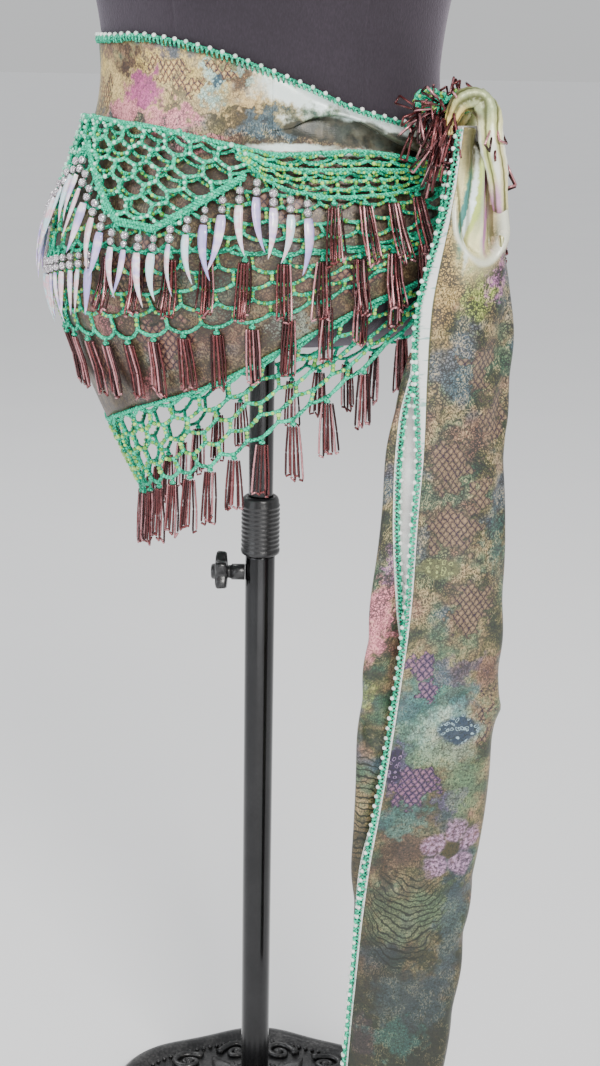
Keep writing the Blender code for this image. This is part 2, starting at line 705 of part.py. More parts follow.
def base():
    """A cast foot: a lobed rim with a raised edge, and a dome up to the pole's socket."""
    profile = ((0.150, 0.000, 1.0), (0.150, 0.008, 1.0), (0.143, 0.017, 1.0), (0.132, 0.018, 0.9),
               (0.120, 0.011, 0.5), (0.098, 0.013, 0.2), (0.070, 0.021, 0.0), (0.044, 0.027, 0.0),
               (0.030, 0.042, 0.0), (0.024, BASE_TOP, 0.0))     # radius, height, share of the lobes
    sections = []
    for radius, height, lobed in profile:
        ring = []
        for k in range(BASE_SIDES):
            turn = 2 * math.pi * k / BASE_SIDES
            reach = radius * (1.0 - 0.05 * lobed * (1.0 - math.cos(BASE_LOBES * turn)) / 2)
            ring.append((reach * math.cos(turn), reach * math.sin(turn), height))
        sections.append(ring)
    rings("base", sections, "steel")


def knob():
    """The star knob that clamps the rod, turning about X, with its screw's sleeve."""
    face = -(TUBE_RADIUS + SEAM_GAP)
    profile = ((0.0, 0.0060), (0.0100, 0.0060), (0.0130, 0.0050), (0.0132, 0.0115),
               (0.0220, 0.0125), (0.0230, 0.0060), (0.0260, 0.0050))     # reach and radius
    sections = []
    for reach, size in profile:
        ring = []
        for k in range(20):
            turn = 2 * math.pi * k / 20
            lobe = 1.0 + (0.22 * math.cos(5 * turn) if size > 0.01 else 0.0)
            ring.append((-reach, size * lobe * math.cos(turn), size * lobe * math.sin(turn)))
        sections.append(ring)
    made = rings("clamp_knob", sections, "plastic")
    made.location = (face, 0.0, KNOB_HEIGHT)


# ---------------------------------------------------------------- build
def main():
    for old in list(bpy.data.objects):
        bpy.data.objects.remove(old, do_unlink=True)
    dress_form()
    stand()
    satin_wrap()
    rolled_fold()
    tiers()
    fringes()
    tail()
    knot()


main()
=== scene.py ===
# %% [markdown]
# # A belly dance hip belt on its dress form
# The belt is one long printed satin sash, tied over one hip, with crocheted nets and beaded
# fringes worked over it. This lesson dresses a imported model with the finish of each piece. Every
# shape is a surface worked out with numpy, in metres, with +Z up and the front facing -Y.

import json
import math

import bpy
import numpy as np
from mathutils import Matrix

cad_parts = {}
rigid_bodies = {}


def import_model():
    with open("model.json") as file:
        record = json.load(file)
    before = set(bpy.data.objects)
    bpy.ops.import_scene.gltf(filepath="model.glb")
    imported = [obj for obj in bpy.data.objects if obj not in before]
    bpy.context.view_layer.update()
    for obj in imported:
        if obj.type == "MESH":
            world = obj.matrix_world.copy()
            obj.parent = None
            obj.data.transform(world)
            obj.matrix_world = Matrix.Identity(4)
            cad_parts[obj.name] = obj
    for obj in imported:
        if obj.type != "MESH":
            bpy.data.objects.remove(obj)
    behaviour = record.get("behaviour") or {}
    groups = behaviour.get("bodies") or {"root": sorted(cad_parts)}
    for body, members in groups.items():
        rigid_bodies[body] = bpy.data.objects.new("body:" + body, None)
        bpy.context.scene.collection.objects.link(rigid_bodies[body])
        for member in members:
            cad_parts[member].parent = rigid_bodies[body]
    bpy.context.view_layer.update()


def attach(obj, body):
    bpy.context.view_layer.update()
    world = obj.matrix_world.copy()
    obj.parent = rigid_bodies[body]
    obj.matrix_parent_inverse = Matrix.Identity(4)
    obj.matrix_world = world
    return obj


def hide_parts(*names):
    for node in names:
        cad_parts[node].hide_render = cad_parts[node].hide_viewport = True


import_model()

# %% [markdown]
# ## The sizes that the cloth follows
# A belt is fitted to a figure, so the figure comes first: its half width and half depth at each
# height. The belt's edges are heights that change with the angle round the hips, counted from the
# front towards +X. Tables are easier to correct against a real garment than formulas, and a smooth
# curve through their rows gives every value between.

# %% Tables of the figure, the wrap and the hanging end
FIGURE = np.array((
    (0.480, 0.0620, 0.0500), (0.571, 0.0940, 0.0740), (0.622, 0.1170, 0.0910),
    (0.683, 0.1420, 0.1050), (0.715, 0.1530, 0.1100), (0.740, 0.1560, 0.1120),
    (0.775, 0.1510, 0.1080), (0.815, 0.1370, 0.0980), (0.850, 0.1245, 0.0905),
    (0.875, 0.1205, 0.0885), (0.900, 0.1215, 0.0895), (0.930, 0.1255, 0.0940)))
WRAP = np.array((    # angle, rim, top of the nets, hems of tiers two and three, hem, net's hem
    (-180, 0.888, 0.838, 0.755, 0.718, 0.690, 0.635),
    (-155, 0.892, 0.840, 0.753, 0.710, 0.672, 0.612),
    (-130, 0.895, 0.842, 0.752, 0.703, 0.654, 0.590),
    (-105, 0.898, 0.844, 0.750, 0.700, 0.638, 0.577),
    (-80, 0.899, 0.846, 0.749, 0.698, 0.629, 0.575),
    (-62, 0.899, 0.846, 0.756, 0.698, 0.637, 0.582),
    (-48, 0.900, 0.844, 0.761, 0.697, 0.646, 0.590),
    (-35, 0.898, 0.842, 0.759, 0.702, 0.655, 0.598),
    (-22, 0.893, 0.837, 0.762, 0.708, 0.665, 0.608),
    (-10, 0.886, 0.832, 0.762, 0.713, 0.678, 0.621),
    (2, 0.877, 0.827, 0.761, 0.720, 0.695, 0.637),
    (14, 0.867, 0.828, 0.763, 0.731, 0.712, 0.655),
    (26, 0.856, 0.829, 0.765, 0.746, 0.729, 0.678),
    (38, 0.849, 0.826, 0.770, 0.758, 0.740, 0.707),
    (50, 0.844, 0.821, 0.778, 0.770, 0.752, 0.732),
    (62, 0.841, 0.818, 0.787, 0.780, 0.762, 0.750),
    (90, 0.850, 0.819, 0.785, 0.772, 0.755, 0.738),
    (112, 0.868, 0.826, 0.772, 0.755, 0.740, 0.702),
    (140, 0.880, 0.832, 0.762, 0.738, 0.716, 0.668)))
RIM, BAND, TIER_TWO, TIER_THREE, HEM, NET_HEM = range(6)
FORM = np.array((    # height, half width, half depth, shift to the front
    (0.690, 0.0850, 0.0600, 0.000), (0.698, 0.1180, 0.0830, 0.000), (0.715, 0.1490, 0.1060, 0.000),
    (0.740, 0.1535, 0.1095, 0.000), (0.775, 0.1485, 0.1055, 0.000), (0.815, 0.1347, 0.0957, 0.000),
    (0.850, 0.1228, 0.0888, 0.000), (0.875, 0.1191, 0.0871, 0.000), (0.900, 0.1207, 0.0887, 0.000),
    (0.930, 0.1255, 0.0940, 0.000), (0.980, 0.1380, 0.1040, 0.003), (1.035, 0.1480, 0.1150, 0.007),
    (1.090, 0.1500, 0.1060, 0.005), (1.145, 0.1600, 0.0880, 0.001), (1.185, 0.1450, 0.0760, 0.000),
    (1.215, 0.1050, 0.0650, 0.000), (1.237, 0.0680, 0.0570, 0.000), (1.265, 0.0560, 0.0520, 0.000),
    (1.300, 0.0540, 0.0510, 0.000)))
TAIL = np.array((    # height, centre x and y, half width and depth, front and back edge, turn, drop
    (0.847, 0.141, -0.109, 0.016, 0.010, 145, -160, 30, 0.000),
    (0.798, 0.141, -0.111, 0.022, 0.011, 151, -172, 30, 0.000),
    (0.740, 0.139, -0.111, 0.032, 0.012, 147, -190, 26, 0.000),
    (0.690, 0.136, -0.107, 0.038, 0.013, 132, -200, 22, 0.000),
    (0.652, 0.132, -0.103, 0.042, 0.014, 121, -206, 18, 0.000),
    (0.581, 0.131, -0.096, 0.046, 0.015, 119, -217, 14, 0.000),
    (0.514, 0.130, -0.093, 0.049, 0.016, 117, -234, 11, 0.000),
    (0.436, 0.127, -0.091, 0.051, 0.016, 121, -253, 9, 0.000),
    (0.357, 0.123, -0.090, 0.050, 0.016, 129, -232, 8, 0.000),
    (0.315, 0.121, -0.090, 0.048, 0.016, 137, -213, 8, 0.000),
    (0.274, 0.120, -0.090, 0.045, 0.015, 147, -196, 8, 0.000),
    (0.233, 0.118, -0.090, 0.041, 0.015, 159, -182, 8, 0.004),
    (0.175, 0.114, -0.090, 0.039, 0.014, 166, -174, 8, 0.014),
    (0.124, 0.110, -0.090, 0.038, 0.014, 166, -172, 8, 0.026)))
FORM_OFFSET_X = 0.005
LAYER = 0.0020               # from one layer of the belt to the next
KNOT_ANGLE, KNOT_HEIGHT = 58.0, 0.833
KNOT_GAP = (42.0, 84.0)      # the stretch behind the knot that carries no fringe
NET_SPAN = (-276.0, 48.0)    # the hem net's two ends
NET_ROWS, NET_COLUMNS = 4, 33
POINT_SPAN = (-180.0, -6.0)  # the upper net's three points
POINT_ROWS, POINT_COLUMNS = 5, 7
POINT_DROP = 0.062
STRIP = 0.0038               # from an edge to where its fringe starts
TASSEL_PITCH, TUSK_PITCH = 9.0, 4.2
JOIN = 60.0                  # the angle behind the knot where the print's two ends meet
DEGREE = 0.00236             # metres of satin to a degree round the hips
print("tail length", round(TAIL[0, 0] - TAIL[-1, 0], 3))

# %% [markdown]
# ## Curves through the tables
# A Hermite curve passes through each row and leaves it in the direction of its two neighbours, so
# the hips have no corners. The same curve was used for the solids, and the cloth lies on them.

# %% Smooth values, edges and points on the hips
def smooth(table, at, period=None):
    """Rows of a table at any value of its first column: a cubic Hermite curve through the rows."""
    at = np.asarray(at, float)
    rows = table if table[0, 0] < table[-1, 0] else table[::-1]
    if period:
        at = (at - rows[0, 0]) % period + rows[0, 0]
        shift = np.eye(rows.shape[1])[0] * period
        rows = np.vstack([rows[-1] - shift, rows, rows[:2] + shift])
    at = np.clip(at, rows[0, 0], rows[-1, 0])
    last = len(rows) - 1
    index = np.arange(last + 1)
    after, before = rows[np.minimum(index + 1, last)], rows[np.maximum(index - 1, 0)]
    slope = (after - before) / (after[:, :1] - before[:, :1])
    k = np.clip(np.searchsorted(rows[:, 0], at, side="right") - 1, 0, last - 1)
    span = (rows[k + 1, 0] - rows[k, 0])[..., None]
    t = (at[..., None] - rows[k, :1]) / span
    return ((2 * t**3 - 3 * t**2 + 1) * rows[k] + (t**3 - 2 * t**2 + t) * slope[k] * span
            + (3 * t**2 - 2 * t**3) * rows[k + 1] + (t**3 - t**2) * slope[k + 1] * span)[..., 1:]


def edge(column, angle):
    """The height of one of the belt's edges at an angle."""
    return smooth(WRAP, angle, 360.0)[..., column]


def hip(angle, height, out=0.0):
    """A point on the hips: an ellipse at each height, moved out along its own normal."""
    angle, height, out = np.broadcast_arrays(np.asarray(angle, float), height, out)
    half = smooth(FIGURE, height)
    turn = np.radians(angle)
    sine, cosine = np.sin(turn), np.cos(turn)
    normal = np.stack([sine / half[..., 0], -cosine / half[..., 1]], -1)
    normal /= np.linalg.norm(normal, axis=-1, keepdims=True)
    return np.stack([FORM_OFFSET_X + half[..., 0] * sine + normal[..., 0] * out,
                     -half[..., 1] * cosine + normal[..., 1] * out, height], -1)


def outward(angle, height):
    """The hips' own direction outwards, level."""
    return hip(angle, height, 1.0) - hip(angle, height, 0.0)


print("front of the hips", hip(0.0, 0.74).round(4))

# %% [markdown]
# ## From grids of points to meshes
# A belt like this has thousands of threads, beads and bugles. Each kind is made in one go: an
# array of paths becomes tubes, and an array of centres becomes beads. Everything is quads, so a
# mesh can be filled with foreach_set from whole arrays.

# %% Meshes, tubes and beads
PIECES = []    # the names of all that is made, for the count at the end


def unit(vectors):
    """Vectors divided by their lengths."""
    return vectors / np.maximum(np.linalg.norm(vectors, axis=-1, keepdims=True), 1e-12)


def length_so_far(paths):
    """The distance along each path at each of its points."""
    return np.cumsum(np.linalg.norm(np.diff(paths, axis=1, prepend=paths[:, :1]), axis=-1), axis=1)


def frame_along(paths, facing):
    """Two directions square to paths at each point: one to the side, one towards facing."""
    along = unit(np.gradient(paths, axis=-2))
    side = unit(np.cross(facing, along))
    return side, np.cross(along, side)


def circle(count, shift=0.0):
    """Angles evenly spaced round a full turn."""
    return 2 * np.pi * (np.arange(count) + shift) / count


def add(name, data):
    """A new object in the scene."""
    made = bpy.data.objects.new(name, data)
    bpy.context.scene.collection.objects.link(made)
    return made


def put(name, parts, paint, body, stands_for=(), seams=None):
    """One object from parts of (points, quads, tint) on a body. tint is one number or one a point."""
    points = np.concatenate([part[0].reshape(-1, 3) for part in parts])
    starts = np.cumsum([0] + [part[0].size // 3 for part in parts[:-1]])
    quads = np.concatenate([part[1] + start for part, start in zip(parts, starts)])
    tint = np.concatenate([np.broadcast_to(part[2], part[0].size // 3) for part in parts])
    mesh = bpy.data.meshes.new(name)
    mesh.vertices.add(len(points))
    mesh.vertices.foreach_set("co", points.astype(np.float32).ravel())
    mesh.loops.add(quads.size)
    mesh.loops.foreach_set("vertex_index", quads.astype(np.int32).ravel())
    mesh.polygons.add(len(quads))
    mesh.polygons.foreach_set("loop_start", np.arange(0, quads.size, 4, dtype=np.int32))
    mesh.polygons.foreach_set("use_smooth", np.full(len(quads), True))
    mesh.attributes.new("tint", "FLOAT", "POINT").data.foreach_set("value", tint.astype(np.float32))
    if seams is not None:
        layer = mesh.uv_layers.new(name="cloth")
        layer.data.foreach_set("uv", seams.reshape(-1, 2)[quads.ravel()].astype(np.float32).ravel())
    mesh.update(calc_edges=True)
    mesh.validate()
    for one in paint if isinstance(paint, (list, tuple)) else [paint]:
        mesh.materials.append(one)
    made = add(name, mesh)
    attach(made, body)
    if stands_for:
        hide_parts(*stands_for)
    PIECES.append(name)
    print(name, "faces", len(quads))
    return made


def grid_quads(rows, columns, closed_rows=False, closed_columns=False):
    """Quads over a grid of points stored row by row."""
    r = np.arange(rows if closed_rows else rows - 1)[:, None]
    c = np.arange(columns if closed_columns else columns - 1)[None, :]
    r2, c2 = (r + 1) % rows, (c + 1) % columns
    return np.stack([r * columns + c, r * columns + c2, r2 * columns + c2, r2 * columns + c],
                    -1).reshape(-1, 4)


def closed_grid(rows, columns):
    """Quads of a tube of rows rings, and fans over its two ends. The number of columns is even."""
    fan = np.array([(0, i, i + 1, i + 2) for i in range(1, columns - 2, 2)])
    return np.concatenate([grid_quads(rows, columns, closed_columns=True), fan[:, ::-1],
                           fan + (rows - 1) * columns])


def tubes(paths, radius, sides=6, facing=(0.0, 0.0, 1.0), flat=1.0, tint=0.5):
    """Tubes along paths[path, point]: a ring round each point, square to the path there.

    facing is the direction that a flattened tube's broad face looks in. Ends are closed.
    """
    paths = np.asarray(paths, float)
    count, length = paths.shape[:2]
    side, front = frame_along(paths, facing)
    turn = circle(sides, 0.5)
    radius = np.broadcast_to(radius, (count, length))[..., None, None]
    ring = (np.cos(turn)[:, None] * side[:, :, None, :]
            + flat * np.sin(turn)[:, None] * front[:, :, None, :])
    points = paths[:, :, None, :] + radius * ring
    start = np.arange(count)[:, None, None] * length * sides
    tint = np.repeat(np.broadcast_to(tint, (count,)), length * sides)
    return points.reshape(-1, 3), (closed_grid(length, sides)[None] + start).reshape(-1, 4), tint


def ball(fine):
    """A unit ball of quads: a cube's faces cut fine times each way and pushed out to the ball."""
    t = np.tan(np.linspace(-1, 1, fine + 1) * np.pi / 4)
    a, b = np.meshgrid(t, t, indexing="ij")
    one = np.ones_like(a)
    sides = [np.stack(s, -1) for s in ((a, b, one), (b, a, -one), (one, a, b), (-one, b, a),
                                       (b, one, a), (a, -one, b))]
    points = unit(np.array(sides).reshape(-1, 3)).round(9)
    quads = grid_quads(fine + 1, fine + 1)
    quads = np.concatenate([quads + i * (fine + 1) ** 2 for i in range(6)])
    points, index = np.unique(points, axis=0, return_inverse=True)
    quads = index.reshape(-1)[quads]
    middle = points[quads].mean(1)
    across = np.cross(points[quads[:, 1]] - points[quads[:, 0]],
                      points[quads[:, 2]] - points[quads[:, 0]])
    inward = (across * middle).sum(-1) < 0
    quads[inward] = quads[inward][:, ::-1]
    return points, quads


SMALL_BALL, ROUND_BALL = ball(2), ball(4)
STITCH = 0.0036    # the length of one chain stitch


def beads(centres, radius, shape=SMALL_BALL, tint=0.5, squash=1.0):
    """A ball at each centre. squash flattens it from top to bottom."""
    centres = np.asarray(centres, float).reshape(-1, 3)
    count, (points, quads) = len(centres), shape
    radius = np.broadcast_to(radius, (count,))[:, None, None]
    placed = centres[:, None, :] + radius * points[None] * (1.0, 1.0, squash)
    faces = quads[None] + np.arange(count)[:, None, None] * len(points)
    return placed.reshape(-1, 3), faces.reshape(-1, 4), np.repeat(np.broadcast_to(tint, (count,)),
                                                                 len(points))


def yarn(paths, radius, facing, tint=0.5):
    """A chain of stitches along each path: a tube that swells with every stitch."""
    paths = np.asarray(paths, float)
    swell = 1.0 + 0.17 * np.sin(2 * np.pi * length_so_far(paths) / STITCH)
    return [tubes(paths, radius * swell, 6, facing, tint=tint)]


def plied(paths, radius, pitch, facing, tint=0.5):
    """Two plies wound round each other: each is a tube on a helix round the path."""
    side, front = frame_along(paths, facing)
    made = []
    for ply in (0.0, np.pi):
        turn = (2 * np.pi * length_so_far(paths) / pitch + ply)[..., None]
        middle = paths + radius * 0.48 * (np.cos(turn) * side + np.sin(turn) * front)
        made.append(tubes(middle, radius * 0.64, 4, facing, tint=tint))
    return made


random = np.random.default_rng(58)    # every draw below comes from this seed, in order
print("ball faces", len(SMALL_BALL[1]), len(ROUND_BALL[1]))

# %% [markdown]
# ## Shader maths as Python
# A material is a small program. Wrapping a node's output in a class that knows +, -, * and /
# lets the pattern be written as a formula, and each operator adds its own Math node.

# %% A material writer
class Value:
    """An output of a node. Operators on it add Math nodes."""

    def __init__(self, paint, output):
        self.paint, self.output = paint, output

    def math(self, operation, *others):
        """This value and others in one Math node."""
        return self.paint.node("ShaderNodeMath", {"operation": operation},
                               dict(enumerate((self, *others))))

    def __add__(self, other):
        return self.math("ADD", other)

    __radd__ = __add__

    def __sub__(self, other):
        return self.math("SUBTRACT", other)

    def __rsub__(self, other):
        return (self * -1.0) + other

    def __mul__(self, other):
        return self.math("MULTIPLY", other)

    __rmul__ = __mul__

    def __truediv__(self, other):
        return self.math("DIVIDE", other)

    def ramp(self, low, high):
        """0 at low and 1 at high, with a soft step between."""
        return self.paint.node("ShaderNodeMapRange", {"interpolation_type": "SMOOTHSTEP"},
                               {0: self, 1: low, 2: high})


class Paint:
    """A material: its Principled shader, and one method that adds any other node."""

    def __init__(self, name, **sockets):
        self.material = bpy.data.materials.new(name)
        self.material.use_nodes = True
        self.tree = self.material.node_tree
        self.shader = self.tree.nodes["Principled BSDF"]
        for socket, value in sockets.items():
            self.shader.inputs[socket.replace("_", " ")].default_value = value

    def node(self, kind, settings=None, inputs=None, out=0):
        """Adds a node: its settings, then values or links for its sockets. Gives one output."""
        made = self.tree.nodes.new(kind)
        for key, value in (settings or {}).items():
            if key == "stops":
                for i, (place, colour) in enumerate(value):
                    stop = (made.color_ramp.elements[i] if i < 2
                            else made.color_ramp.elements.new(place))
                    stop.position, stop.color = place, (*colour, 1.0)
            else:
                setattr(made, key, value)
        for key, value in (inputs or {}).items():
            if isinstance(value, Value):
                self.tree.links.new(value.output, made.inputs[key])
            else:
                made.inputs[key].default_value = value
        return Value(self, made.outputs[out])

    def feed(self, **sockets):
        """Links values to the Principled shader's sockets."""
        for socket, value in sockets.items():
            self.tree.links.new(value.output, self.shader.inputs[socket.replace("_", " ")])

    def vector(self, operation, *inputs, out="Vector"):
        """Maths on vectors."""
        return self.node("ShaderNodeVectorMath", {"operation": operation}, dict(enumerate(inputs)),
                         out=out)

    def here(self):
        """The object's own coordinates."""
        return self.node("ShaderNodeTexCoord", out="Object")

    def place(self, scale=(1, 1, 1), shift=(0, 0, 0), source=None):
        """Coordinates, moved by shift and scaled."""
        moved = self.vector("SUBTRACT", source or self.here(), shift)
        return self.node("ShaderNodeMapping", None, {"Vector": moved, "Scale": scale})

    def noise(self, scale, detail=2.0, rough=0.5, at=None, out="Fac"):
        """Clouds: the scale is how many there are to a metre."""
        return self.node("ShaderNodeTexNoise", None,
                         {"Vector": at or self.here(), "Scale": scale, "Detail": detail,
                          "Roughness": rough}, out=out)

    def cells(self, scale, feature, at=None):
        """Distances in a pattern of cells, from their middles (F1) or from their edges."""
        return self.node("ShaderNodeTexVoronoi", {"feature": feature},
                         {"Vector": at or self.here(), "Scale": scale}, out="Distance")

    def mix(self, factor, a, b, way="MIX"):
        """Colour a, going to colour b as the factor goes from 0 to 1."""
        inputs = {0: factor, 6: a if isinstance(a, Value) else (*a, 1.0),
                  7: b if isinstance(b, Value) else (*b, 1.0)}
        return self.node("ShaderNodeMix", {"data_type": "RGBA", "blend_type": way}, inputs, out=2)

    def ramp(self, factor, *stops):
        """Colours between stops of (place, colour)."""
        return self.node("ShaderNodeValToRGB", {"stops": stops}, {"Fac": factor})

    def axes(self, vector):
        """A vector's first and second parts."""
        return [self.node("ShaderNodeSeparateXYZ", None, {0: vector}, out=k) for k in (0, 1)]

    def tint(self):
        """The number that each point of the mesh carries."""
        return self.node("ShaderNodeAttribute", {"attribute_name": "tint"}, out="Fac")

    def bump(self, height, depth, strength=1.0):
        """A normal from a height of 0 to 1, which stands for depth metres."""
        return self.node("ShaderNodeBump", None,
                         {"Height": height, "Distance": depth, "Strength": strength})


# %% [markdown]
# ## Thread, beads and glass
# Mercerised crochet yarn is two shiny plies: its green has a painted highlight along each ply and
# painted shade in the grooves. Its beads are pearly. The bugles are metal-lined brown glass tubes,
# and the tusks are pearl-coated plastic, which shifts from pink to blue along its length.

# %% Materials for thread and beads
def thread_paint(name, deep, bright):
    """Two shiny plies: a painted highlight along the top of each, painted shade in the grooves between
    them.
    """
    p = Paint(name, Sheen_Weight=0.02, Sheen_Roughness=0.4, Specular_IOR_Level=0.3)
    stitch = p.cells(620.0, "F1").ramp(0.70, 0.15)
    # painted highlight and shade of the plies, mixed with a tone at random
    shade = stitch * 0.50 + p.noise(1500.0, 2.0) * 0.30 + p.tint() * 0.30
    p.feed(Base_Color=p.mix(shade.ramp(0.08, 0.80), deep, bright), Roughness=0.50 - stitch * 0.25,
           Normal=p.bump(stitch, 0.0006, 0.8))
    return p.material


def bead_paint(name, dark, light, roughness=0.16):
    """Glazed beads, each its own shade between two colours."""
    p = Paint(name, Coat_Weight=0.6, Coat_Roughness=0.06)
    colour = p.mix((p.tint() * 0.7 + p.noise(400.0) * 0.4).ramp(0.2, 0.9), dark, light)
    p.feed(Base_Color=colour, Roughness=roughness + p.noise(900.0) * 0.12)
    return p.material


thread = thread_paint("crochet_thread", (0.0, 0.110, 0.055), (0.030, 0.88, 0.52))
lime_beads = bead_paint("lime_beads", (0.08, 0.30, 0.03), (0.52, 0.80, 0.16))
mint_beads = bead_paint("mint_beads", (0.12, 0.58, 0.38), (0.60, 0.95, 0.78))
white_beads = bead_paint("white_beads", (0.55, 0.72, 0.62), (0.92, 0.97, 0.92), 0.2)


def bugle_paint():
    """Brown glass lined with metal, from nearly black to rose."""
    p = Paint("bronze_bugles", Metallic=0.7, Coat_Weight=0.3, Coat_Roughness=0.08)
    shade = (p.tint() * 0.8 + p.noise(250.0) * 0.35).ramp(0.1, 1.0)
    colour = p.ramp(shade, (0.0, (0.020, 0.005, 0.005)), (0.45, (0.080, 0.018, 0.019)),
                    (0.8, (0.200, 0.046, 0.048)), (1.0, (0.58, 0.27, 0.29)))
    p.feed(Base_Color=colour, Roughness=0.18 + p.noise(600.0) * 0.2)
    return p.material


def tusk_paint():
    """Pearl-coated plastic, whose colour drifts from violet over white to pink and blue."""
    p = Paint("pearl_tusks", Coat_Weight=0.8, Coat_Roughness=0.05, Subsurface_Weight=0.15,
              Subsurface_Scale=0.003)
    drift = p.noise(70.0, 2.0, at=p.place(scale=(1.0, 1.0, 1.6)))
    colour = p.ramp((drift + (p.tint() - 0.5) * 0.5).ramp(0.2, 0.8),
                    (0.0, (0.46, 0.40, 0.80)), (0.3, (0.82, 0.66, 0.92)), (0.5, (0.97, 0.95, 0.96)),
                    (0.75, (0.96, 0.56, 0.64)), (1.0, (0.62, 0.84, 0.92)))
    p.feed(Base_Color=colour, Roughness=0.1 + p.noise(300.0) * 0.15,
           Normal=p.bump(p.noise(220.0), 0.0003, 0.5))
    return p.material


def silver_paint():
    """Silvered beads pitted with small dull dots."""
    p = Paint("silver_beads", Metallic=0.9)
    dots = p.cells(800.0, "F1").ramp(0.40, 0.62)
    colour = p.mix(dots, (0.95, 0.92, 0.94), (0.42, 0.36, 0.40))
    p.feed(Base_Color=colour, Roughness=0.16 + dots * 0.3, Normal=p.bump(1.0 - dots, 0.0003, 0.8))
    return p.material


bugle, tusk_pearl, silver = bugle_paint(), tusk_paint(), silver_paint()
print("thread and bead materials made")

# %% [markdown]
# ## The printed satin
# The print is reptile skin, lace mesh, peacock colours and flowers, over gold and olive. On real
# cloth it is flat ink, so it is drawn in the cloth's own coordinates: metres along the sash and
# across it. Each motif is a soft mask with a pattern of its own inside. Some layers are painted
# light, not ink: the glare washes and the pale laid by the points' tint are painted highlights; the
# shade washes, the lens, the darkening under the nets and the dark laid by the tint are painted shade.

# %% The satin's ground, motifs and gloss
class Print(Paint):
    """Satin with a printed ground. Its coordinates are metres: u round the body, v up."""

    def __init__(self, name, seed, washes, laced):
        super().__init__(name, Metallic=0.20, Sheen_Weight=0.05, Sheen_Roughness=0.3,
                         Coat_Weight=0.15, Coat_Roughness=0.25, Anisotropic=0.3)
        self.flat = self.node("ShaderNodeUVMap", {"uv_map": "cloth"})
        self.wavy = self.shaken(0.008, 55.0, 3.0)
        self.torn = self.shaken(0.028, 90.0, 4.0, 0.6)
        self.crinkled = self.shaken(0.0018, 300.0, 2.0)
        self.seed = seed
        mist = self.noise(36.0, 4.0, 0.6, at=self.place(source=self.flat, shift=(seed, 0, 0)))
        self.colour = self.ramp(mist, (0.36, (0.095, 0.120, 0.080)), (0.46, (0.21, 0.205, 0.115)),
                                (0.54, (0.44, 0.35, 0.22)), (0.64, (0.25, 0.31, 0.21)))
        for k, (low, high, colour) in enumerate(((0.50, 0.60, (0.40, 0.235, 0.20)),
                                                 (0.52, 0.62, (0.12, 0.26, 0.19)),
                                                 (0.54, 0.64, (0.16, 0.22, 0.32)))):
            cloud = self.noise(24.0, 3.0, at=self.place(source=self.flat, shift=(k, seed + 3.0, 0)))
            self.lay(cloud.ramp(low, high) * 0.7, colour)
        self.wash(washes)
        self.lace(laced(self))

    def shaken(self, reach, *grain):
        """The cloth's coordinates, pushed about by up to reach metres by the colours of a noise."""
        centred = self.vector("SUBTRACT", self.noise(*grain, at=self.flat, out="Color"), (0.5,) * 3)
        return self.vector("ADD", self.flat, self.vector("MULTIPLY", centred, (reach * 2,) * 3))

    def lay(self, mask, colour, way="MIX"):
        """Prints a colour over what is there, where the mask is."""
        self.colour = self.mix(mask, self.colour, colour, way)

    def lace(self, weight):
        """Curly mesh: contour lines of a cloud in some places, crinkled cells in others."""
        where = self.noise(60.0, 3.0, at=self.place(source=self.flat, shift=(0, 0, self.seed)))
        cloud = self.noise(250.0, 2.0, 0.5, at=self.place(source=self.flat, scale=(1.0, 0.65, 1.0)))
        wisp = (cloud * 6.0).math("PINGPONG", 0.5)
        net = self.cells(460.0, "DISTANCE_TO_EDGE", self.crinkled).ramp(0.22, 0.08)
        inked = where.ramp(0.46, 0.54)
        curls = weight * (1.0 - inked)
        self.lay(wisp.ramp(0.20, 0.08) * curls * 0.80, (0.055, 0.060, 0.050))
        self.lay(wisp.ramp(0.36, 0.45) * curls * curls * 0.70, (0.66, 0.56, 0.38))
        self.lay(net * inked * weight * 0.85, (0.055, 0.055, 0.060))

    def blot(self, centre, size, ragged=0.35, cloth=None):
        """A mask with a ragged edge round a centre: 1 inside an oval of these half widths."""
        moved = self.vector("SUBTRACT", cloth or self.wavy, (*centre, 0.0))
        share = self.vector("MULTIPLY", moved, (1 / size[0], 1 / size[1], 0.0))
        return self.vector("LENGTH", share, out="Value").ramp(1.0 + ragged / 2, 1.0 - ragged / 2)

    def patches(self, spots, ragged=0.35, cloth=None):
        """One mask for several blots, given as rows of (u, v, half width, half height, strength)."""
        mask = None
        for u, v, wide, high, strength in spots:
            one = self.blot((u, v), (wide, high), ragged, cloth or self.torn) * strength
            mask = one if mask is None else mask.math("MAXIMUM", one)
        return mask

    def wash(self, washes, ragged=0.7, cloth=None):
        """Lays each wash of colour, all of its blots in one mask."""
        for colour, spots in washes.items():
            self.lay(self.patches(spots, ragged, cloth), WASH[colour])

    def scales(self, mask, pale=(0.46, 0.345, 0.25), deep=(0.26, 0.195, 0.145),
               ink=(0.060, 0.035, 0.085)):
        """Reptile skin: two sets of crossing lines make tall lozenges, pale inside."""
        a, b = self.axes(self.place((1 / SCALE_WIDTH, 0.80 / SCALE_WIDTH, 0.0),
                                    source=self.crinkled))
        one, two = (a + b).math("PINGPONG", 0.5), (a - b).math("PINGPONG", 0.5)
        inside = one.math("MINIMUM", two)
        self.lay(mask * (1.0 - mask) * 3.6, (0.045, 0.075, 0.060))
        self.lay(mask * 0.85, self.mix(inside.ramp(0.05, 0.5), deep, pale))
        self.lay(mask * inside.ramp(0.12, 0.03) * 0.9, ink)

    def rings(self, mask, pale=(0.42, 0.55, 0.62), ground=(0.035, 0.07, 0.14)):
        """Small pale rings on a dark ground."""
        far = self.cells(240.0, "F1", self.wavy)
        self.lay(mask * 0.85, ground)
        self.lay(mask * far.ramp(0.40, 0.33) * far.ramp(0.19, 0.26), pale)

